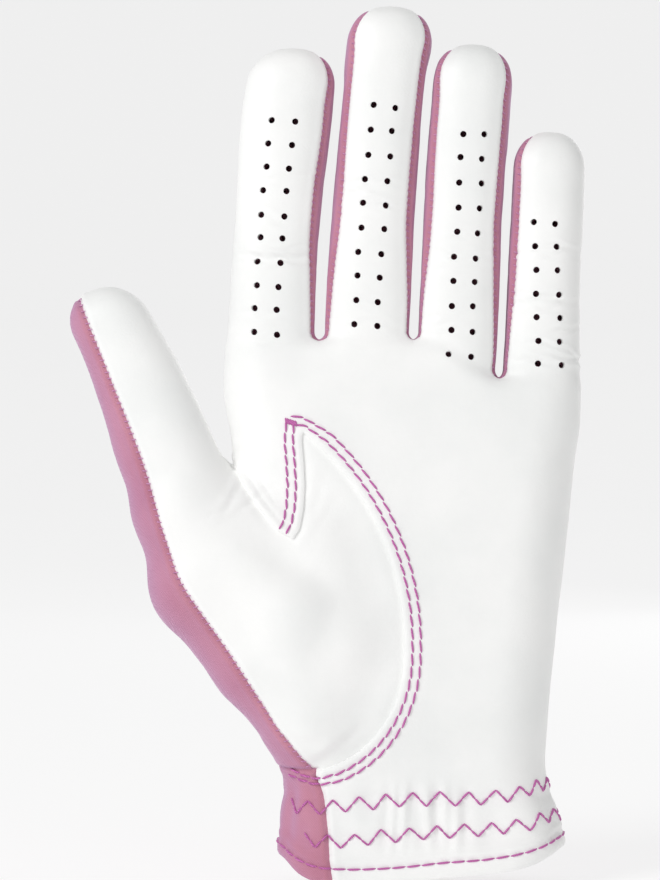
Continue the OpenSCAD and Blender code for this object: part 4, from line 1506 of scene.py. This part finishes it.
def sew_tab(ground, area):
    """A row of stitches round the tab, 2 mm inside its edge."""
    x0, x1, z0, z1, corner = area
    inset = 2.0
    left = arc(x0 + corner, z0 + corner, corner - inset, corner - inset, 270, 180, 8)
    upper_left = arc(x0 + corner, z1 - corner, corner - inset, corner - inset, 180, 90, 8)
    line = [(x1 - inset, z0 + inset)] + list(left) + list(upper_left)
    line += [(x1 - inset, z1 - inset), (x1 - inset, z0 + inset)]
    line = densify(line)
    place, normal = ground.back(line[:, 0], line[:, 1])
    normal = unit(normal + np.array([0, 2.0, 0]))
    height = 0.85 + (2.6 - 0.85) * smoothstep((HINGE[0] + 2.5 - line[:, 0]) / 4)
    wave = 0.10 * noise(place, 14, 77)
    parts = stitches(place + normal * (height + 0.8 + wave)[:, None], normal, 2.8, 0.85, 0.04)
    return strands("tab_row", parts, thread)


# ---------------------------------------------------------------- build
skin = build_skin()
panel, zone = sort_triangles(skin)
surfaces, seam_edges, seam_pairs = build_panels(skin, panel, zone)
ground = Ground(surfaces)
for sewn in (sew_crescent(ground), sew_zigzags(ground), sew_hem(ground)):
    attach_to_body(sewn, "palm")
sew_seams(ground, skin, seam_edges, seam_pairs)
build_elastic()
build_binding(ground)
build_closure(ground)


# ---------------------------------------------------------------- scene
def add_light(name, place, size, power):
    """A square soft light aimed at the middle of the glove."""
    light = bpy.data.lights.new(name, "AREA")
    light.shape = "SQUARE"
    light.size = size
    light.energy = power
    obj = bpy.data.objects.new(name, light)
    obj.location = place
    obj.rotation_euler = (Vector((0, 0, 0.1)) - Vector(place)).to_track_quat("-Z", "Y").to_euler()
    bpy.context.scene.collection.objects.link(obj)


def floor_material():
    """Pale paper that glows a little, so that shadows on it stay soft."""
    mat, nodes, links, shader = new_material("pale_floor")
    shader.inputs["Base Color"].default_value = (0.3, 0.3, 0.3, 1)
    shader.inputs["Emission Color"].default_value = (1, 1, 1, 1)
    shader.inputs["Emission Strength"].default_value = FLOOR_GLOW
    shader.inputs["Roughness"].default_value = 0.9
    return mat


def build_stage():
    """Pale floor running up into a backdrop behind the glove."""
    curve = [(-3.0, 0.0), (1.4, 0.0), (1.9, 0.05), (2.3, 0.2), (2.55, 0.5), (2.65, 0.9), (2.65, 3.0)]
    points = [(x, y, z - 0.0012) for x in (-3.5, 3.5) for y, z in curve]
    n = len(curve)
    faces = np.array([(k, k + n, k + n + 1, k + 1) for k in range(n - 1)])
    floor = make_piece("floor", np.array(points) / MM, [faces], floor_material())


def build_world():
    """Even soft light from all round; the camera sees it as a pale background."""
    world = bpy.data.worlds.new("studio")
    world.use_nodes = True
    nodes, links = world.node_tree.nodes, world.node_tree.links
    path = nodes.new("ShaderNodeLightPath")
    level = nodes.new("ShaderNodeMapRange")
    level.inputs["To Min"].default_value = WORLD_LIGHT
    level.inputs["To Max"].default_value = BACKGROUND
    links.new(path.outputs["Is Camera Ray"], level.inputs["Value"])
    links.new(level.outputs["Result"], nodes["Background"].inputs["Strength"])
    nodes["Background"].inputs["Color"].default_value = (1, 1, 1, 1)
    bpy.context.scene.world = world


def build_camera():
    """The camera that looks straight at the palm."""
    lens = bpy.data.cameras.new("camera")
    lens.lens = LENS
    lens.sensor_width = SENSOR
    camera = bpy.data.objects.new("camera", lens)
    camera.location = (VIEW_CENTRE[0], -VIEW_HEIGHT * LENS / SENSOR, VIEW_CENTRE[1])
    camera.rotation_euler = (math.radians(90), 0, 0)
    bpy.context.scene.collection.objects.link(camera)
    bpy.context.scene.camera = camera


build_stage()
build_world()
for light in LIGHTS:
    add_light(*light)
build_camera()
bpy.context.scene.view_settings.view_transform = "Standard"
